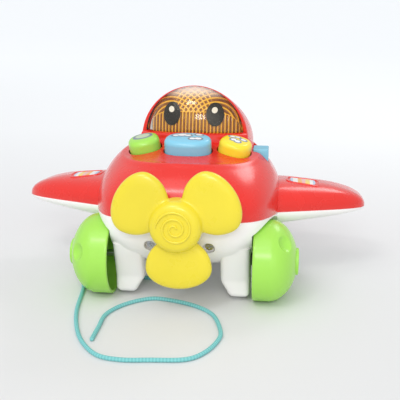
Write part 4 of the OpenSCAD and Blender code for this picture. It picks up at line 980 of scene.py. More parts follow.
@dataclass
class Fuselage:
    """The red upper shell with its holes, and the white lower shell with its legs and wells."""

    hull: Hull = field(default_factory=Hull)
    axle_y: float = -0.0735
    wheel_r: float = 0.031
    well_gap: float = 0.0025
    well_in: float = 0.0525
    well_out: float = 0.09
    well_wall_in: float = 0.049
    bush_r: float = 0.0045
    bush_x: tuple[float, float] = (0.02, 0.06)
    screws: tuple[tuple[float, float], ...] = ((0.036, 0.016), (0.020, 0.072))
    screw_boss: tuple[float, float] = (0.0055, 0.07)
    screw_bore: tuple[float, float] = (0.0033, 0.035)
    nose_x: float = 0.0216
    nose_z: float = 0.0475
    nose_boss: tuple[float, float, float] = (0.0071, -0.11, -0.0845)
    nose_bore: tuple[float, float, float] = (0.0046, -0.12, -0.0915)
    speaker_y: float = 0.044
    speaker_ring: float = 0.007
    speaker_hole: tuple[float, float] = (0.0016, 0.033)
    door: tuple[tuple[float, float, float], ...] = ((-0.0174, -0.0504, 0.0), (0.0174, 0.0084, 0.027))
    door_tab: tuple[tuple[float, float, float], ...] = ((-0.0064, 0.008, 0.0), (0.0064, 0.0174, 0.0235))
    tail_y: float = 0.072
    tail_z: float = 0.014
    tail_bore_r: float = 0.00156
    strut_r: float = 0.0045
    strut_half_w: float = 0.012
    leg_x: tuple[float, float] = (0.0345, 0.0515)
    leg_half_l: float = 0.011
    leg_foot: float = 0.003
    leg_round: float = 0.0045
    leg_top: float = 0.046
    leg_flare: float = 0.0055
    leg_lean: float = 0.010
    lean_from: float = 0.0165
    sill_r: float = 0.0582
    sill_y: float = 0.0325
    sill_z: float = 0.112
    sill_angle: float = 43.6
    edge: float = 0.0004

    def upper(self, holes: Sequence[Patch], track: Track) -> None:
        """The upper shell between its outer and its inner skin, cut by the button holes and the track."""
        hull = self.hull
        outer = chamfered(hull.upper(), hull.upper(self.edge), self.edge)
        inner = hull.upper(hull.wall, rows=20)
        piece = new_object("upper_shell_skin", [Patch(np.concatenate([inner[::-1], outer]))])
        cut(piece, [new_object("hole", [hole]) for hole in holes])
        cut(piece, [new_object("pocket", [p]) for p in track.pocket()])
        dress(track.tray(), [Look.RED], "chassis")
        dress(piece, [Look.RED], "chassis", ["upper_shell"])

    def sill(self) -> None:
        """A low sill round the foot of the windshield: a rounded section over the deck, carried round a circle.

        Its inner side follows the windshield's sphere, r = sqrt(sill_r^2 - (z - sill_z)^2).
        """
        phi = np.radians(np.linspace(-self.sill_angle, self.sill_angle, 120))[:, None]
        front = arc((0.0030, 0.0032), 0.0018, 90, 10, 8)
        section = np.concatenate([[[0.0, -0.0015], [0.0, 0.0047], [0.0005, 0.0050]], front,
                                  [[0.0050, 0.0022], [0.0054, 0.0010], [0.0062, 0.0002], [0.0075, -0.0015]]])
        r = self.sill_r + section[:, 0][None, :]
        x, y = r * np.sin(phi), self.sill_y - r * np.cos(phi)
        z = self.hull.deck(x, y) + section[:, 1]
        r = np.sqrt(self.sill_r ** 2 - (z - self.sill_z) ** 2) + section[:, 0]
        grid = points(r * np.sin(phi), self.sill_y - r * np.cos(phi), z)
        dress(new_object("windshield_sill", [Patch(grid)]), [Look.RED], "chassis")

    def leg(self) -> Patch:
        """A leg beside a front wheel: rounded sections from the floor up into the belly.

        Each section is a round square of a half width and a half length that depend on its height.
        """
        foot, k = self.leg_foot, self.leg_round
        z = np.r_[foot + k * (1 - np.cos(np.radians(np.linspace(0, 90, 10)))), np.linspace(0.0085, self.leg_top, 24)]
        drop = np.clip((foot + k - z) / k, 0, 1)
        inset = k * (1 - np.sqrt(1 - drop ** 2))
        flare = self.leg_flare * ease(z, 0.005, 0.0175)
        lean = self.leg_lean * np.clip((z - self.lean_from) / (self.leg_top - self.lean_from), 0, 1)
        x0, x1 = self.leg_x[0] - flare + inset, self.leg_x[1] - inset
        y0, y1 = self.axle_y - self.leg_half_l - lean + inset, self.axle_y + self.leg_half_l - inset
        c, s = round_square(turns(96)[None, :], 6)
        return Patch(points((x0 + x1)[:, None] / 2 + (x1 - x0)[:, None] / 2 * c,
                            (y0 + y1)[:, None] / 2 + (y1 - y0)[:, None] / 2 * s, z[:, None]))

    def strut(self) -> Patch:
        """The tail strut: its section narrows from the belly down to the round axle boss."""
        r, y = self.strut_r, self.tail_y
        foot = arc((y, self.tail_z), r, 180, 360, 20)
        top = self.hull.belly(y) + 0.0055
        outline = np.concatenate([[[y - 2 * r, top]], foot, [[y + 2 * r, top]]])
        across = np.linspace(-self.strut_half_w, self.strut_half_w, 3)
        return Patch(np.stack([points(x, outline[:, 0], outline[:, 1]) for x in across]))

    def bosses(self) -> list[Patch]:
        """What stays of the shell inside it: the walls of the wheel wells and the screws' bosses."""
        y, z, r = self.axle_y, self.wheel_r, self.wheel_r + self.well_gap + self.hull.wall
        kept = []
        for s in (-1, 1):
            kept.append(drum(r, Vector((s * self.well_wall_in, y, z)), Vector((s * self.well_out, y, z)), 96))
            kept.append(self.nose_drum(s, *self.nose_boss))
            kept += [self.upright(s * bx, by, *self.screw_boss) for bx, by in self.screws]
        return kept

    def holes(self) -> list[Patch]:
        """Cutters for the wheel wells, the screws, the bushes, the speaker, the battery door and the tail axle."""
        y, z, r = self.axle_y, self.wheel_r, self.wheel_r + self.well_gap
        gone = []
        for s in (-1, 1):
            gone.append(drum(r, Vector((s * self.well_in, y, z)), Vector((s * self.well_out, y, z)), 160))
            gone.append(self.nose_drum(s, *self.nose_bore))
            gone.append(drum(self.bush_r, *(Vector((s * x, y, z)) for x in self.bush_x)))
            gone += [self.upright(s * bx, by, *self.screw_bore) for bx, by in self.screws]
        ring = [(self.speaker_ring * math.cos(a), self.speaker_ring * math.sin(a)) for a in turns(6)]
        gone += [self.upright(x, self.speaker_y + v, *self.speaker_hole, 24) for x, v in (*ring, (0, 0))]
        ends = [Vector((x, self.tail_y, self.tail_z)) for x in (-0.02, 0.02)]
        return gone + [slab(*self.door), slab(*self.door_tab), drum(self.tail_bore_r, *ends, 32)]

    def nose_drum(self, side: int, radius: float, y0: float, y1: float) -> Patch:
        """A drum along Y at the nose screw of one side."""
        x = side * self.nose_x
        return drum(radius, Vector((x, y0, self.nose_z)), Vector((x, y1, self.nose_z)))

    @staticmethod
    def upright(x: float, y: float, radius: float, top: float, count: int = 48) -> Patch:
        """A drum from the floor up."""
        return drum(radius, Vector((x, y, 0)), Vector((x, y, top)), count)

    def lower(self) -> None:
        """The lower shell: a solid hull and legs, less its cavity, its wells, its screw holes and its door."""
        hull = self.hull
        outer = chamfered(hull.lower(), hull.lower(self.edge), -self.edge)
        piece = new_object("lower_shell_skin", [Patch(outer)])
        leg = self.leg()
        added = [new_object("leg", [leg]), new_object("leg", [flipped(leg)]), new_object("strut", [self.strut()])]
        cut(piece, added, "UNION")
        inner = hull.lower(hull.wall, 120, 20)
        cavity = new_object("cavity", [Patch(np.concatenate([inner[:1] + np.array([0, 0, 0.002]), inner]))])
        cut(cavity, [new_object("boss", [p]) for p in self.bosses()])
        cut(piece, [cavity])
        cut(piece, [new_object("well", [p]) for p in self.holes()])
        dress(piece, [Look.WHITE], "chassis", ["lower_shell"])


# ---------------------------------------------------------------- the canopy
@dataclass
class Canopy:
    """The red hood, the clear round windshield, the ribbed golden reflector and the two eyes."""

    hull: Hull = field(default_factory=Hull)
    y: float = -0.0095
    z: float = 0.112
    lens_r: float = 0.040
    sphere: float = 0.058
    centre_y: float = 0.0325
    hood_z: float = 0.108
    half_w: float = 0.0435
    height: float = 0.0445
    length: float = 0.085
    bulge: float = 0.018
    fall: float = 0.016
    slope: float = 0.005
    insert_r: float = 0.0392
    insert_sphere: float = 0.0545
    cell: float = 0.0031
    arc_x: float = 0.017
    arc_z: float = 0.121
    arch_rise: float = 0.0205
    arch_half_w: float = 0.0385
    rib: float = 0.0028
    rib_h: float = 0.0006
    lens_t: float = 0.002
    eye_x: float = 0.0174
    eye_z: float = 0.1306
    eye_half_w: float = 0.0070
    eye_half_h: float = 0.0090
    eye_tilt: float = 8
    glint_x: float = -0.0004
    glint_z: float = 0.1340
    glint_r: float = 0.0023

    def hood(self) -> None:
        """A swelling half ellipsoid whose tail sinks, with a rounded rim that comes back inside round the lens.

        Across, the half width grows by bulge * sin(a) from the rim back. Up, the middle falls by
        fall * sin(a) and the height shrinks by slope * sin(a).
        """
        b = turns(192)[None, :]

        def shell(a: np.ndarray, t: float) -> np.ndarray:
            """Rows of the half ellipsoid at angles from the rim back, drawn in by t."""
            a = a[:, None]
            back = np.sin(a)
            height = (self.height - self.slope * back - t) * np.cos(a)
            return points((self.half_w + self.bulge * back - t) * np.cos(a) * np.cos(b),
                          self.y + (self.length - t) * back, self.hood_z - self.fall * back + height * np.sin(b))

        def disc(radius: float, y: float) -> np.ndarray:
            """A row round the windshield's axis."""
            return points(radius * np.cos(b), y, self.z + radius * np.sin(b))

        outer = shell(np.radians(np.linspace(88, 1.6, 60)), 0.0)
        face = shell(np.array([0.0]), 0.0004)
        lens = disc(self.lens_r, self.y)
        rim = bend(outer[-1], shell(np.array([0.0]), 0.0)[0], face[0], 5)
        inner = shell(np.radians(np.linspace(4, 86, 24)), 0.0025)
        behind = disc(self.lens_r, self.y + 0.003)
        grid = np.concatenate([outer, rim, face, 0.5 * (face + lens), lens, behind, inner])
        piece = new_object("hood", [Patch(grid)])
        cut(piece, [self.hull.solid(0.0012)])
        dress(piece, [Look.RED], "chassis", ["canopy_hood"])

    def bowl(self, radius: float, cap: float, rows: int, cols: int) -> tuple[np.ndarray, np.ndarray, np.ndarray]:
        """Points of a round window on a sphere, above the deck.

        Across, x = cap sin(u). Up, z runs from just under the deck to the window's circle, and the
        sphere gives y.
        """
        u = np.radians(np.linspace(-90, 90, cols))[None, :]
        v = np.linspace(0, 1, rows)[:, None]
        x = cap * np.sin(u)
        top = self.z + np.sqrt(np.maximum(cap ** 2 - x ** 2, 0))
        low = np.minimum(self.hull.deck(x, self.y) - 0.0025, top - 0.0001)
        z = low + (top - low) * v
        x = x + 0 * z
        y = self.centre_y - np.sqrt(np.maximum(radius ** 2 - x ** 2 - (z - self.z) ** 2, 0))
        return x, y, z

    def windshield(self) -> None:
        """The clear dome."""
        outer = points(*self.bowl(self.sphere, self.lens_r - 0.0001, 60, 120))
        middle = np.array([0, self.centre_y, self.z])
        inner = middle + (outer - middle) * (self.sphere - self.lens_t) / self.sphere
        piece = new_object("clear_windshield", [closed_sheet(outer, inner)])
        dress(piece, [Look.LENS], "chassis", ["windshield"])

    def reflector(self) -> None:
        """The golden dome: arcs round each eye cross in a lattice between the eyes, and ribs stand under an arch.

        A ridge is cos^2 of a distance over its pitch. Each family of arcs fades out beyond the other eye. The
        ribs are measured across, and a single ridge follows the arch that ends them.
        """
        x, y, z = self.bowl(self.insert_sphere, self.insert_r, 150, 300)

        def ridge(distance: np.ndarray, pitch: float) -> np.ndarray:
            """Height of a row of ridges, from 0 to 1."""
            return np.cos(math.pi * distance / pitch) ** 2

        def arcs_round(centre: float) -> np.ndarray:
            """Ridges round a centre on one side."""
            return ridge(np.hypot(x - centre, z - self.arc_z), self.cell)

        x0, x1 = self.arc_x - 0.005, self.arc_x + 0.001
        arcs = np.maximum(arcs_round(-self.arc_x) * (1 - ease(x, x0, x1)), arcs_round(self.arc_x) * ease(x, -x1, -x0))
        arch = self.z + self.arch_rise * np.sqrt(np.maximum(1 - (x / self.arch_half_w) ** 4, 0))
        low = 1 - ease(z, arch - self.rib_h, arch + self.rib_h)
        height = arcs * (1 - low) + ridge(x, self.rib) * low
        height = np.maximum(height, np.exp(-((z - arch) / self.rib_h) ** 2))
        outer = points(x, y, z)
        middle = np.array([0, self.centre_y, self.z])
        out = (outer - middle) / np.linalg.norm(outer - middle, axis=-1, keepdims=True)
        front = outer + out * (self.rib_h * height)[..., None]
        back = outer - out * self.lens_t
        rim = closed_sheet(front, back)
        # the ridge height also sets the colour: ridge tops painted bright as highlight, the ground between them
        # painted dark as shade
        rim.value = np.concatenate([height ** 2, 0 * height], axis=1)
        piece = new_object("golden_reflector", [rim])
        dress(piece, [Look.GOLD], "chassis", ["lens_insert"])

    def spot(self, cx: float, cz: float, half_w: float, half_h: float, lift: float, tilt: float) -> Patch:
        """A thin oval that follows the dome, tilted by an angle in degrees."""
        a = turns(64)[None, :]
        r = np.r_[np.linspace(0.05, 1, 12), 1.0][:, None]
        u, v = half_w * r * np.cos(a), half_h * r * np.sin(a)
        c, s = math.cos(math.radians(tilt)), math.sin(math.radians(tilt))
        x, z = cx + u * c - v * s, cz + u * s + v * c
        size = np.r_[np.full(12, self.insert_sphere + lift), self.insert_sphere - 0.0005][:, None]
        y = self.centre_y - np.sqrt(size ** 2 - x ** 2 - (z - self.z) ** 2)
        return Patch(points(x, y, z))

    def eyes(self) -> None:
        """Two plain black ovals, each with a small white glint."""
        patches = []
        for s in (-1, 1):
            patches.append(self.spot(s * self.eye_x, self.eye_z, self.eye_half_w, self.eye_half_h, 0.0011,
                                     s * self.eye_tilt))
            glint = self.spot(s * self.eye_x + self.glint_x, self.glint_z, self.glint_r, self.glint_r, 0.0013, 0)
            glint.material = 1
            patches.append(glint)
        piece = new_object("two_eyes", patches)
        dress(piece, [Look.BLACK, Look.PRINT_WHITE], "chassis", ["eyes"])


def closed_sheet(front: np.ndarray, back: np.ndarray) -> Patch:
    """A sheet with a thickness: the front grid and the reversed back grid, with their edges joined.

    Each grid's rows are open, so one ring runs along the front row and back along the back row, and the
    stack of rings is closed at both ends.
    """
    rings = np.concatenate([front, back[:, ::-1]], axis=1)
    return Patch(rings, ring=True, capped=True)


# ---------------------------------------------------------------- the buttons
@dataclass
class Button:
    """A push button with a rounded top edge and a plain printed motif."""

    name: str
    body: str
    slot: str
    finish: Finish
    width: float
    depth: float
    seat: Seat
    motif: tuple[tuple[float, float, float, float], ...]
    paper: Finish
    height: float = 0.010
    edge: float = 0.004
    dome: float = 0.0006
    skirt: float = 0.004
    n: float = 2.4

    def rows(self, grow: np.ndarray, z: np.ndarray, around: int = 96) -> np.ndarray:
        """Round-square outlines, each grown by a margin and set at a height."""
        c, s = round_square(turns(around)[None, :], self.n)
        return points((self.width / 2 + grow[:, None]) * c, (self.depth / 2 + grow[:, None]) * s, z[:, None])

    def hole(self, gap: float = 0.0010) -> Patch:
        """The cutter for the button's hole in the deck."""
        return self.seat.patch(Patch(self.rows(np.array([gap, gap]), np.array([-0.012, 0.012]), 64)))

    def top(self, x: np.ndarray, y: np.ndarray) -> np.ndarray:
        """Height of the slightly domed top."""
        reach = np.hypot(x / (self.width / 2 - self.edge), y / (self.depth / 2 - self.edge))
        return self.height + self.dome * (1 - np.minimum(reach, 1) ** 2)

    def build(self) -> None:
        """The cap from its skirt up, and its motif of thin ovals, each pale inside a grey line."""
        a = np.radians(np.linspace(0, 90, 12))
        inward = np.linspace(self.edge, self.depth / 2 - 0.0005, 14)[1:]
        grow = np.r_[-0.0, 0.0, -self.edge * (1 - np.cos(a)), -inward]
        z = np.r_[-self.skirt, self.height - self.edge - 0.0002, self.height - self.edge * (1 - np.sin(a)),
                  np.zeros(len(inward))]
        grid = self.rows(grow, z)
        last = grid[-len(inward):]
        last[..., 2] = self.top(last[..., 0], last[..., 1])
        cap = self.seat.patch(Patch(grid))
        piece = new_object(self.name + "_cap", [cap])
        dress(piece, [self.finish], self.body, [self.name])
        marks = []
        t = turns(40)[None, :]
        for level, (cx, cy, rx, ry) in enumerate(self.motif):
            for kind, share, lift in ((0, 1.0, 0.00005), (1, 0.8, 0.00012)):
                r = np.r_[np.linspace(0.08, 1, 6), 1.0][:, None] * share
                x = cx + (rx - (1 - share) * 0.004) * r * np.cos(t)
                y = cy + (ry - (1 - share) * 0.004) * r * np.sin(t)
                rise = np.r_[np.full(6, lift + 0.000005 * level), -0.0002][:, None]
                marks.append(self.seat.patch(Patch(points(x, y, self.top(x, y) + rise), material=kind)))
        print_ = new_object(self.name + "_motif", marks)
        dress(print_, [Look.PRINT_GREY, self.paper], self.body)


GREEN_MOTIF = ((0, 0.002, 0.0080, 0.0070),)
BLUE_MOTIF = (
    (-0.0095, 0.0030, 0.0038, 0.0032), (-0.0048, 0.0042, 0.0050, 0.0042), (-0.0002, 0.0028, 0.0038, 0.0030),
    (0.0040, -0.0036, 0.0036, 0.0028), (0.0082, -0.0030, 0.0040, 0.0030), (0.0082, 0.0055, 0.0040, 0.0028))
YELLOW_MOTIF = (
    (-0.0048, 0.0038, 0.0034, 0.0030), (-0.0010, 0.0052, 0.0032, 0.0028), (0.0046, 0.0030, 0.0034, 0.0030),
    (-0.0018, -0.0022, 0.0034, 0.0030), (0.0020, -0.0034, 0.0034, 0.0030))


def make_buttons(hull: Hull) -> list[Button]:
    """The three buttons at their places on the deck."""
    return [
        Button("green_button", "green_button", "green_plastic", Look.GREEN, 0.0245, 0.025,
               deck_seat(hull, -0.035, -0.0405, 15), GREEN_MOTIF, Look.PRINT_SAGE, 0.009),
        Button("blue_button", "blue_button", "blue_plastic", Look.BLUE, 0.036, 0.026,
               deck_seat(hull, 0, -0.0495), BLUE_MOTIF, Look.PRINT_WHITE),
        Button("yellow_button", "yellow_button", "yellow_plastic", Look.YELLOW, 0.0245, 0.025,
               deck_seat(hull, 0.035, -0.0405, -15), YELLOW_MOTIF, Look.PRINT_WHITE, 0.009),
    ]


# ---------------------------------------------------------------- the propeller
@dataclass
class Propeller:
    """The soft three-blade propeller, its hub and the raised spiral."""

    height: float = 0.069
    mid_y: float = -0.111
    hub_r: float = 0.019
    hub_front: float = -0.1215
    hub_back: float = -0.1043
    hub_round: float = 0.006
    blade_half_w: float = 0.024
    blade_out: float = 0.0155
    blade_in: float = 0.024
    blade_half_t: float = 0.005
    reach: float = 0.033
    turn: float = 2.5
    spiral_turns: float = 2.5
    spiral_r: float = 0.0121

    def upright(self, across: np.ndarray, up: np.ndarray, y: np.ndarray | float) -> np.ndarray:
        """Points in the propeller's plane, measured from its axis."""
        return points(across, y, self.height + up)

    def blade(self, direction: float) -> Patch:
        """A cushion round its widest part, longer towards the hub: cos(t)^0.5 draws it in, sin(t)^0.8 thickens it."""
        a = turns(128)[None, :]
        t = np.radians(np.r_[np.linspace(89, 60, 10), np.linspace(57, 0, 24)])
        t = np.r_[t, -t[::-1][1:]][:, None]
        s = np.sqrt(np.cos(t))
        w = self.blade_half_w * np.cos(a) * s
        r = self.reach + np.where(a < math.pi, self.blade_out, self.blade_in) * np.sin(a) * s
        depth = self.mid_y - self.blade_half_t * power(np.sin(t), 0.8) + 0 * a
        d = math.radians(direction)
        out, side = (math.cos(d), math.sin(d)), (math.sin(d), -math.cos(d))
        return Patch(self.upright(r * out[0] + w * side[0], r * out[1] + w * side[1], depth))

    def hub(self) -> Patch:
        """A barrel with a rounded front edge, turned about the propeller's axis."""
        r, k = self.hub_r, self.hub_round
        edge = arc((0, 0), k, 0, 90, 10)
        profile = np.concatenate([
            [[self.hub_back, 0.002], [self.hub_back, r - 0.001], [self.hub_back - 0.001, r]],
            np.stack([self.hub_front + k - edge[:, 1], r - k + edge[:, 0]], axis=-1),
            [[self.hub_front, (r - k) * q] for q in (0.75, 0.5, 0.25, 0.02)]])
        turned_grid = lathe(profile, 128)
        return Patch(self.upright(turned_grid[..., 1], turned_grid[..., 2], turned_grid[..., 0]))

    def spiral(self) -> Patch:
        """A round cord half sunk in the hub: its centre runs out evenly with the angle, its ends taper."""
        a = np.linspace(0, FULL_TURN * self.spiral_turns, 320)[:, None]
        v = turns(16)[None, :]
        centre = 0.0012 + self.spiral_r * a / a[-1, 0]
        taper = np.sqrt(np.clip(np.minimum(a, a[-1, 0] - a) / 0.35, 0.02, 1))
        r = centre + 0.00095 * taper * np.cos(v)
        y = self.hub_front - 0.001 * taper * np.sin(v)
        return Patch(self.upright(r * np.cos(a), r * np.sin(a), y))

    def build(self) -> None:
        """The hub and three blades melt into one soft piece, and the spiral lies on it."""
        blades = [self.blade(-90 + self.turn + 120 * i) for i in range(3)]
        piece = new_object("soft_propeller", [self.hub(), *blades])
        remesh = piece.modifiers.new("melt", "REMESH")
        remesh.mode = "VOXEL"
        remesh.voxel_size = 0.0007
        settle(piece)
        near = piece.vertex_groups.new(name="near_hub")
        for vertex in piece.data.vertices:
            r = math.hypot(vertex.co.x, vertex.co.z - self.height)
            near.add([vertex.index], float(np.clip((self.hub_r + 0.011 - r) / 0.005, 0, 1)), "REPLACE")
        for group, iterations in (("near_hub", 20), ("", 3)):
            smooth = piece.modifiers.new("soften", "SMOOTH")
            smooth.factor = 0.5
            smooth.iterations = iterations
            smooth.vertex_group = group
        settle(piece)
        piece.data.shade_smooth()
        dress(piece, [Look.PROPELLER], "propeller_set", ["propeller"])
        dress(new_object("hub_spiral", [self.spiral()]), [Look.PROPELLER], "propeller_set")


# ---------------------------------------------------------------- the wheels
@dataclass
class FrontWheels:
    """The two domed front wheels, with round dimples and hub caps."""

    radius: float = 0.031
    inner_x: float = 0.0535
    tread: float = 0.012
    dome: float = 0.021
    axle_y: float = -0.0735
    ring: float = 0.026
    sphere: float = 0.009
    dimple: float = 0.007
    dimples: int = 3
    cap_r: float = 0.0103
    cap_x: float = 0.0337
    sides: tuple[tuple[int, str, float], ...] = ((-1, "left", 20), (1, "right", 50))

    def profile(self) -> np.ndarray:
        """From the hub's inside out over the tread and the dome, which is a quarter of an ellipse."""
        r = self.radius
        a = np.radians(np.linspace(0, 72, 110))
        inside = [[0.0265, 0.0026], [0.0265, 0.0055], [0.0265, 0.0150], [0.0225, 0.0205], [0.0125, r - 0.0027],
                  [0.0006, r - 0.0025], [0.0, r - 0.0019]]
        edge = [[0.0, r - 0.0009], [0.0003, r - 0.0003], [0.0010, r]]
        tread = [[x, r] for x in np.linspace(0.002, self.tread - 0.0005, 10)]
        dome = np.stack([self.tread + self.dome * np.sin(a), r * np.cos(a)], axis=-1)
        end = dome[-1]
        middle = [[end[0], end[1] * q] for q in (0.8, 0.5, 0.22)]
        return np.concatenate([inside, edge, tread, dome, middle])

    def wheel(self, turn: float) -> np.ndarray:
        """The turned wheel with its dimples.

        Heights are measured from a dimple's sphere along the dome's normal n. Where the sphere's far side
        -sqrt(R^2 - gap^2) is lower than the dome, the point sinks to it, with a soft edge.
        """
        grid = lathe(self.profile(), 300)
        a = math.acos(self.ring / self.radius)
        out = np.array([math.cos(a) / self.radius, math.sin(a) / self.dome])
        out /= np.linalg.norm(out)
        lift = math.sqrt(self.sphere ** 2 - self.dimple ** 2) * out
        rho, x0 = self.ring + lift[0], self.tread + self.dome * math.sin(a) + lift[1]
        outside = np.zeros(grid.shape[:2], bool)
        outside[10:] = True
        for i in range(self.dimples):
            phi = math.radians(-90 - turn + 360 * i / self.dimples)
            normal = np.array([out[1], out[0] * math.sin(phi), -out[0] * math.cos(phi)])
            away = grid - np.array([x0, rho * math.sin(phi), -rho * math.cos(phi)])
            height = away @ normal
            gap = np.linalg.norm(away - height[..., None] * normal, axis=-1)
            floor = -np.sqrt(np.maximum(self.sphere ** 2 - gap ** 2, 0))
            soft = 0.0007
            blend = np.clip(0.5 + 0.5 * (height - floor) / soft, 0, 1)
            drop = np.minimum((floor - height) * blend - soft * blend * (1 - blend), 0)
            near = outside & (gap < self.sphere) & (height < 0)
            grid += (drop * near)[..., None] * normal
        return grid

    def cap(self) -> np.ndarray:
        """A round cap with a soft edge and a shallow dish."""
        x0, x1, r = 0.0312, self.cap_x, self.cap_r
        edge = arc((x1 - 0.0010, r - 0.0010), 0.0010, 90, 0, 8)
        dish = [[x1 - 0.0004 * math.cos(math.pi * q / 1.6) ** 2, r * q] for q in (0.8, 0.72, 0.55, 0.35, 0.15)]
        return lathe(np.concatenate([[[x0, 0.002], [x0, r]], edge, dish]), 96)

    def build(self) -> None:
        """Both wheels with their caps, on the rolling body."""
        shift = np.array([self.inner_x, self.axle_y, self.radius])
        for side, name, turn in self.sides:
            mirror = np.array([side, 1.0, 1.0])
            for part, grid in (("front_wheel", self.wheel(turn)), ("hub_cap", self.cap())):
                piece = new_object(f"{name}_{part}_smooth", [Patch((grid + shift) * mirror)])
                dress(piece, [Look.GREEN], "front_wheel_set", [f"{name}_{part}"])


@dataclass
class TailWheels:
    """The two small tail wheels."""

    radius: float = 0.014
    x: float = 0.0195
    half_w: float = 0.0055
    y: float = 0.072

    def build(self) -> None:
        """A turned wheel with a rounded tyre edge and a raised hub, on each side."""
        r, h = self.radius, self.half_w
        inner, outer = arc((-h + 0.002, r - 0.002), 0.002, 180, 90, 8), arc((h - 0.002, r - 0.002), 0.002, 90, 0, 8)
        profile = np.concatenate([
            [[-0.0071, 0.0016], [-0.0071, 0.0044], [-h - 0.0002, 0.0046], [-h + 0.001, 0.006], [-h + 0.001, r - 0.004],
             [-h, r - 0.003]], inner, outer,
            [[h, r - 0.003], [h - 0.001, r - 0.004], [h - 0.001, 0.006], [h - 0.0002, 0.0048], [h, 0.0042],
             [h, 0.0016]]])
        grid = lathe(profile, 128) + np.array([self.x, self.y, r])
        for side, name in ((-1, "left"), (1, "right")):
            piece = new_object(f"{name}_tail_wheel_smooth", [Patch(grid * np.array([side, 1.0, 1.0]))])
            dress(piece, [Look.GREEN], "tail_wheel_set", [f"{name}_tail_wheel"])


# ---------------------------------------------------------------- the wings and the tail
@dataclass
class Wings:
    """The wings: red above and white below the parting plane, with a striped label on each.

    Attributes:
        lead: Leading edge at the root, and its change to the tip.
        trail: Trailing edge at the root, and its change to the tip.
        crown: Height of the upper half at the root, and the share that it loses to the tip.
        keel: The same for the lower half.
    """

    hull: Hull = field(default_factory=Hull)
    tip: float = 0.140
    start: float = 0.040
    root: float = 0.070
    n: float = 4.5
    m: float = 2.5
    label_x: float = 0.089
    label_y: float = -0.018
    label_half: tuple[float, float] = (0.010, 0.0075)
    ridge_half: tuple[float, float] = (0.0128, 0.0103)
    ridge_w: float = 0.0009
    ridge_h: float = 0.0007
    lead: tuple[float, float] = (-0.056, 0.032)
    trail: tuple[float, float] = (0.030, -0.008)
    crown: tuple[float, float] = (0.022, 0.3)
    keel: tuple[float, float] = (-0.014, 0.65)

    def share(self, x: np.ndarray) -> np.ndarray:
        """How far out a place is, from the root to the tip."""
        return (x - self.root) / (self.tip - self.root)

    def edges(self, x: np.ndarray) -> tuple[np.ndarray, np.ndarray]:
        """Leading and trailing edge."""
        share = self.share(x)
        return self.lead[0] + self.lead[1] * share, self.trail[0] + self.trail[1] * share

    def rise(self, x: np.ndarray, up: bool) -> np.ndarray:
        """Height of the upper or the lower half above or below the parting plane."""
        size, loss = self.crown if up else self.keel
        return size * (1 - loss * self.share(x))

    def half(self, up: bool, inset: float = 0.0) -> np.ndarray:
        """Rows from the parting plane to the crown of one half.

        The section |s|^m + |w|^m = 1 draws the plan in by s and lifts it by w.
        """
        s, w = round_square(np.radians(np.linspace(0, 88, 34))[:, None], self.m)
        c, d = round_square(turns(200)[None, :], self.n)
        mid, half = (self.tip + self.start) / 2, (self.tip - self.start) / 2 - inset
        x = mid + half * s * c
        lead, trail = self.edges(x)
        y = (lead + trail) / 2 + ((trail - lead) / 2 - inset) * s * d
        return points(x, y, self.hull.parting(y) + self.rise(x, up) * w)

    def top_z(self, x: np.ndarray, y: np.ndarray) -> np.ndarray:
        """Height of the wing's upper skin."""
        lead, trail = self.edges(x)
        v = (2 * y - lead - trail) / (trail - lead)
        return self.hull.parting(y) + self.rise(x, True) * (1 - np.abs(v) ** self.m) ** (1 / self.m)

    def label(self) -> Patch:
        """A thin plate with rounded corners that follows the wing, its number running across the stripes."""
        c, s = round_square(turns(160)[None, :], 6)
        r = np.r_[np.linspace(0.02, 1, 40), 1.0][:, None]
        half_w, half_l = self.label_half
        x, y = self.label_x + half_w * r * c, self.label_y + half_l * r * s
        lift = np.r_[np.full(39, 0.00035), 0.0002, -0.001][:, None]
        return Patch(points(x, y, self.top_z(x, y) + lift), value=(x - self.label_x) / (2 * half_w) + 0.5)

    def frame(self) -> Patch:
        """A low rounded ridge round the label, a round section carried along a round square."""
        t = turns(200)[:, None]
        v = turns(12)[None, :]
        c, s = round_square(t, 4)
        out = self.ridge_w * np.cos(v)
        x, y = self.label_x + (self.ridge_half[0] + out) * c, self.label_y + (self.ridge_half[1] + out) * s
        grid = points(x, y, self.top_z(x, y) + self.ridge_h * np.sin(v) - 0.0001)
        return Patch(np.concatenate([grid, grid[:1]]), capped=False)

    def build(self) -> None:
        """Both halves of each wing, trimmed to the fuselage, with the label and its ridge."""
        for side, name in ((1, "right"), (-1, "left")):
            for up, part in ((True, "top"), (False, "bottom")):
                rows = chamfered(self.half(up), self.half(up, 0.0004), 0.0004 if up else -0.0004)
                patches = [Patch(rows)]
                patches = patches if side > 0 else [flipped(p) for p in patches]
                piece = new_object(f"{name}_wing_{part}_skin", patches)
                cut(piece, [self.hull.solid(0.0003)], crossing=True)
                look, slot = (Look.RED, "red_shell") if up else (Look.WHITE, "white_shell")
                dress(piece, [look], "chassis", [f"{name}_wing_{part}"])
            for part, patch, look, slot, nodes in (
                    ("label_film", self.label(), Look.STRIPES, "label_film", [f"{name}_wing_label"]),
                    ("label_ridge", self.frame(), Look.RED, "red_shell", [])):
                piece = new_object(f"{name}_{part}", [patch if side > 0 else flipped(patch)])
                dress(piece, [look], "chassis", nodes)


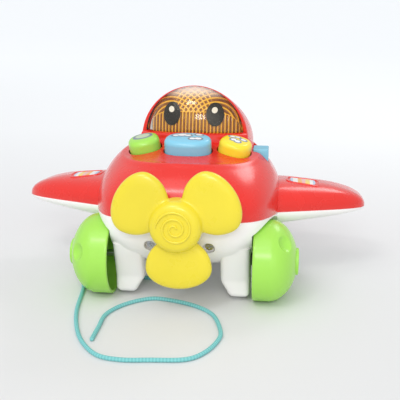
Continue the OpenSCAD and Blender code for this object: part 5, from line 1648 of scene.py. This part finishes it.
@dataclass
class Tail:
    """The fin and the tailplane: flat boards with fully rounded edges."""

    hull: Hull = field(default_factory=Hull)
    fin_r: float = 0.0055
    fin_front_y: float = 0.076
    plane_r: float = 0.005
    plane_z: float = 0.076
    plane_half: tuple[tuple[float, float], ...] = ((0.010, 0.078), (0.037, 0.092), (0.040, 0.108), (0.010, 0.112))

    def board(self, corners: Sequence[tuple[float, float]], r: float) -> np.ndarray:
        """A flat board round a convex outline, as far from it as r on every side.

        Each corner is an arc of normals between its two edges. The edge's section is a half circle, and
        the flat faces shrink to the middle.
        """
        p = np.array(corners)
        ahead = np.roll(p, -1, axis=0) - p
        angle = np.unwrap(np.arctan2(-ahead[:, 0], ahead[:, 1]))
        before = np.roll(angle, 1)
        before[0] -= FULL_TURN if before[0] > angle[0] else 0
        steps = np.linspace(0, 1, 12)[None, :]
        normal = (before[:, None] + (angle - before)[:, None] * steps).ravel()
        core = np.repeat(p, 12, axis=0)
        phi = np.radians(np.linspace(-90, 90, 25))[:, None]
        middle = core.mean(axis=0)
        edge = points(core[:, 0] + r * np.cos(phi) * np.cos(normal), core[:, 1] + r * np.cos(phi) * np.sin(normal),
                      r * np.sin(phi))
        inner = [points(middle[0] + (core[:, 0] - middle[0]) * q, middle[1] + (core[:, 1] - middle[1]) * q, z)
                 for q, z in ((0.5, -r), (0.5, r))]
        return np.concatenate([inner[0][None], edge, inner[1][None]])

    def build(self) -> None:
        """The fin stands in the middle plane, and the tailplane lies across it."""
        r = self.fin_r
        front = float(self.hull.spine(self.fin_front_y))
        fin = self.board([(0.0815, front - r), (0.1105, 0.042 + r + 0.002), (0.117, 0.104), (0.1145, 0.1185),
                          (0.1005, 0.1225)], r)
        fin = points(fin[..., 2], fin[..., 0], fin[..., 1])
        half = self.plane_half
        plane = self.board([(-half[0][0], half[0][1]), *half, *((-x, y) for x, y in half[:0:-1])], self.plane_r)
        plane = points(plane[..., 0], plane[..., 1], self.plane_z + plane[..., 2])
        for name, grid, node in (("fin_board", fin, "tail_fin"), ("tailplane_board", plane, "tailplane")):
            piece = new_object(name, [Patch(grid)])
            cut(piece, [self.hull.solid(0.0003)])
            dress(piece, [Look.RED], "chassis", [node])


# ---------------------------------------------------------------- the kept frame nodes
SLOT_FINISH: dict[str, Finish] = {
    "red_shell": Look.RED, "white_shell": Look.WHITE, "amber_lens": Look.LENS, "gold_insert": Look.GOLD,
    "black_eyes": Look.BLACK, "lamp": Look.LAMP, "green_plastic": Look.GREEN, "blue_plastic": Look.BLUE,
    "yellow_plastic": Look.YELLOW, "switch_rubber": Look.RUBBER, "circuit_board": Look.BOARD, "steel": Look.STEEL,
    "grey_plastic": Look.GREY, "cells": Look.SLEEVE, "label_film": Look.STRIPES, "cord": Look.CORD,
}


def dress_frame(frame: dict) -> None:
    """Gives each frame node the finish of its slot."""
    for row in frame["record"]["subparts"]:
        node = frame["nodes"][row["node"]]
        finish = SLOT_FINISH[row["material_slot"]].material()
        for slot in node.material_slots:
            slot.material = finish
        if not node.material_slots:
            node.data.materials.append(finish)


def main() -> None:
    """Builds the studio and every sub-assembly in order."""
    logging.basicConfig(level=logging.INFO, format="%(message)s")
    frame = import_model()
    dress_frame(frame)
    studio = Studio()
    studio.camera()
    PullCord().build()
    studio.floor()
    studio.lights()
    hull = Hull()
    buttons = make_buttons(hull)
    track = Track(hull)
    body = Fuselage(hull)
    body.upper([button.hole() for button in buttons], track)
    body.lower()
    body.sill()
    for button in buttons:
        button.build()
    dress(track.knob(), [Look.BLUE], "slider_knob", ["slider_knob"])
    canopy = Canopy(hull)
    for step in (canopy.hood, canopy.windshield, canopy.reflector, canopy.eyes):
        step()
    for group in (Propeller(), FrontWheels(), TailWheels(), Wings(hull), Tail(hull)):
        group.build()
    view = bpy.context.scene.view_settings
    view.view_transform = "Standard"


if __name__ == "__main__":
    main()
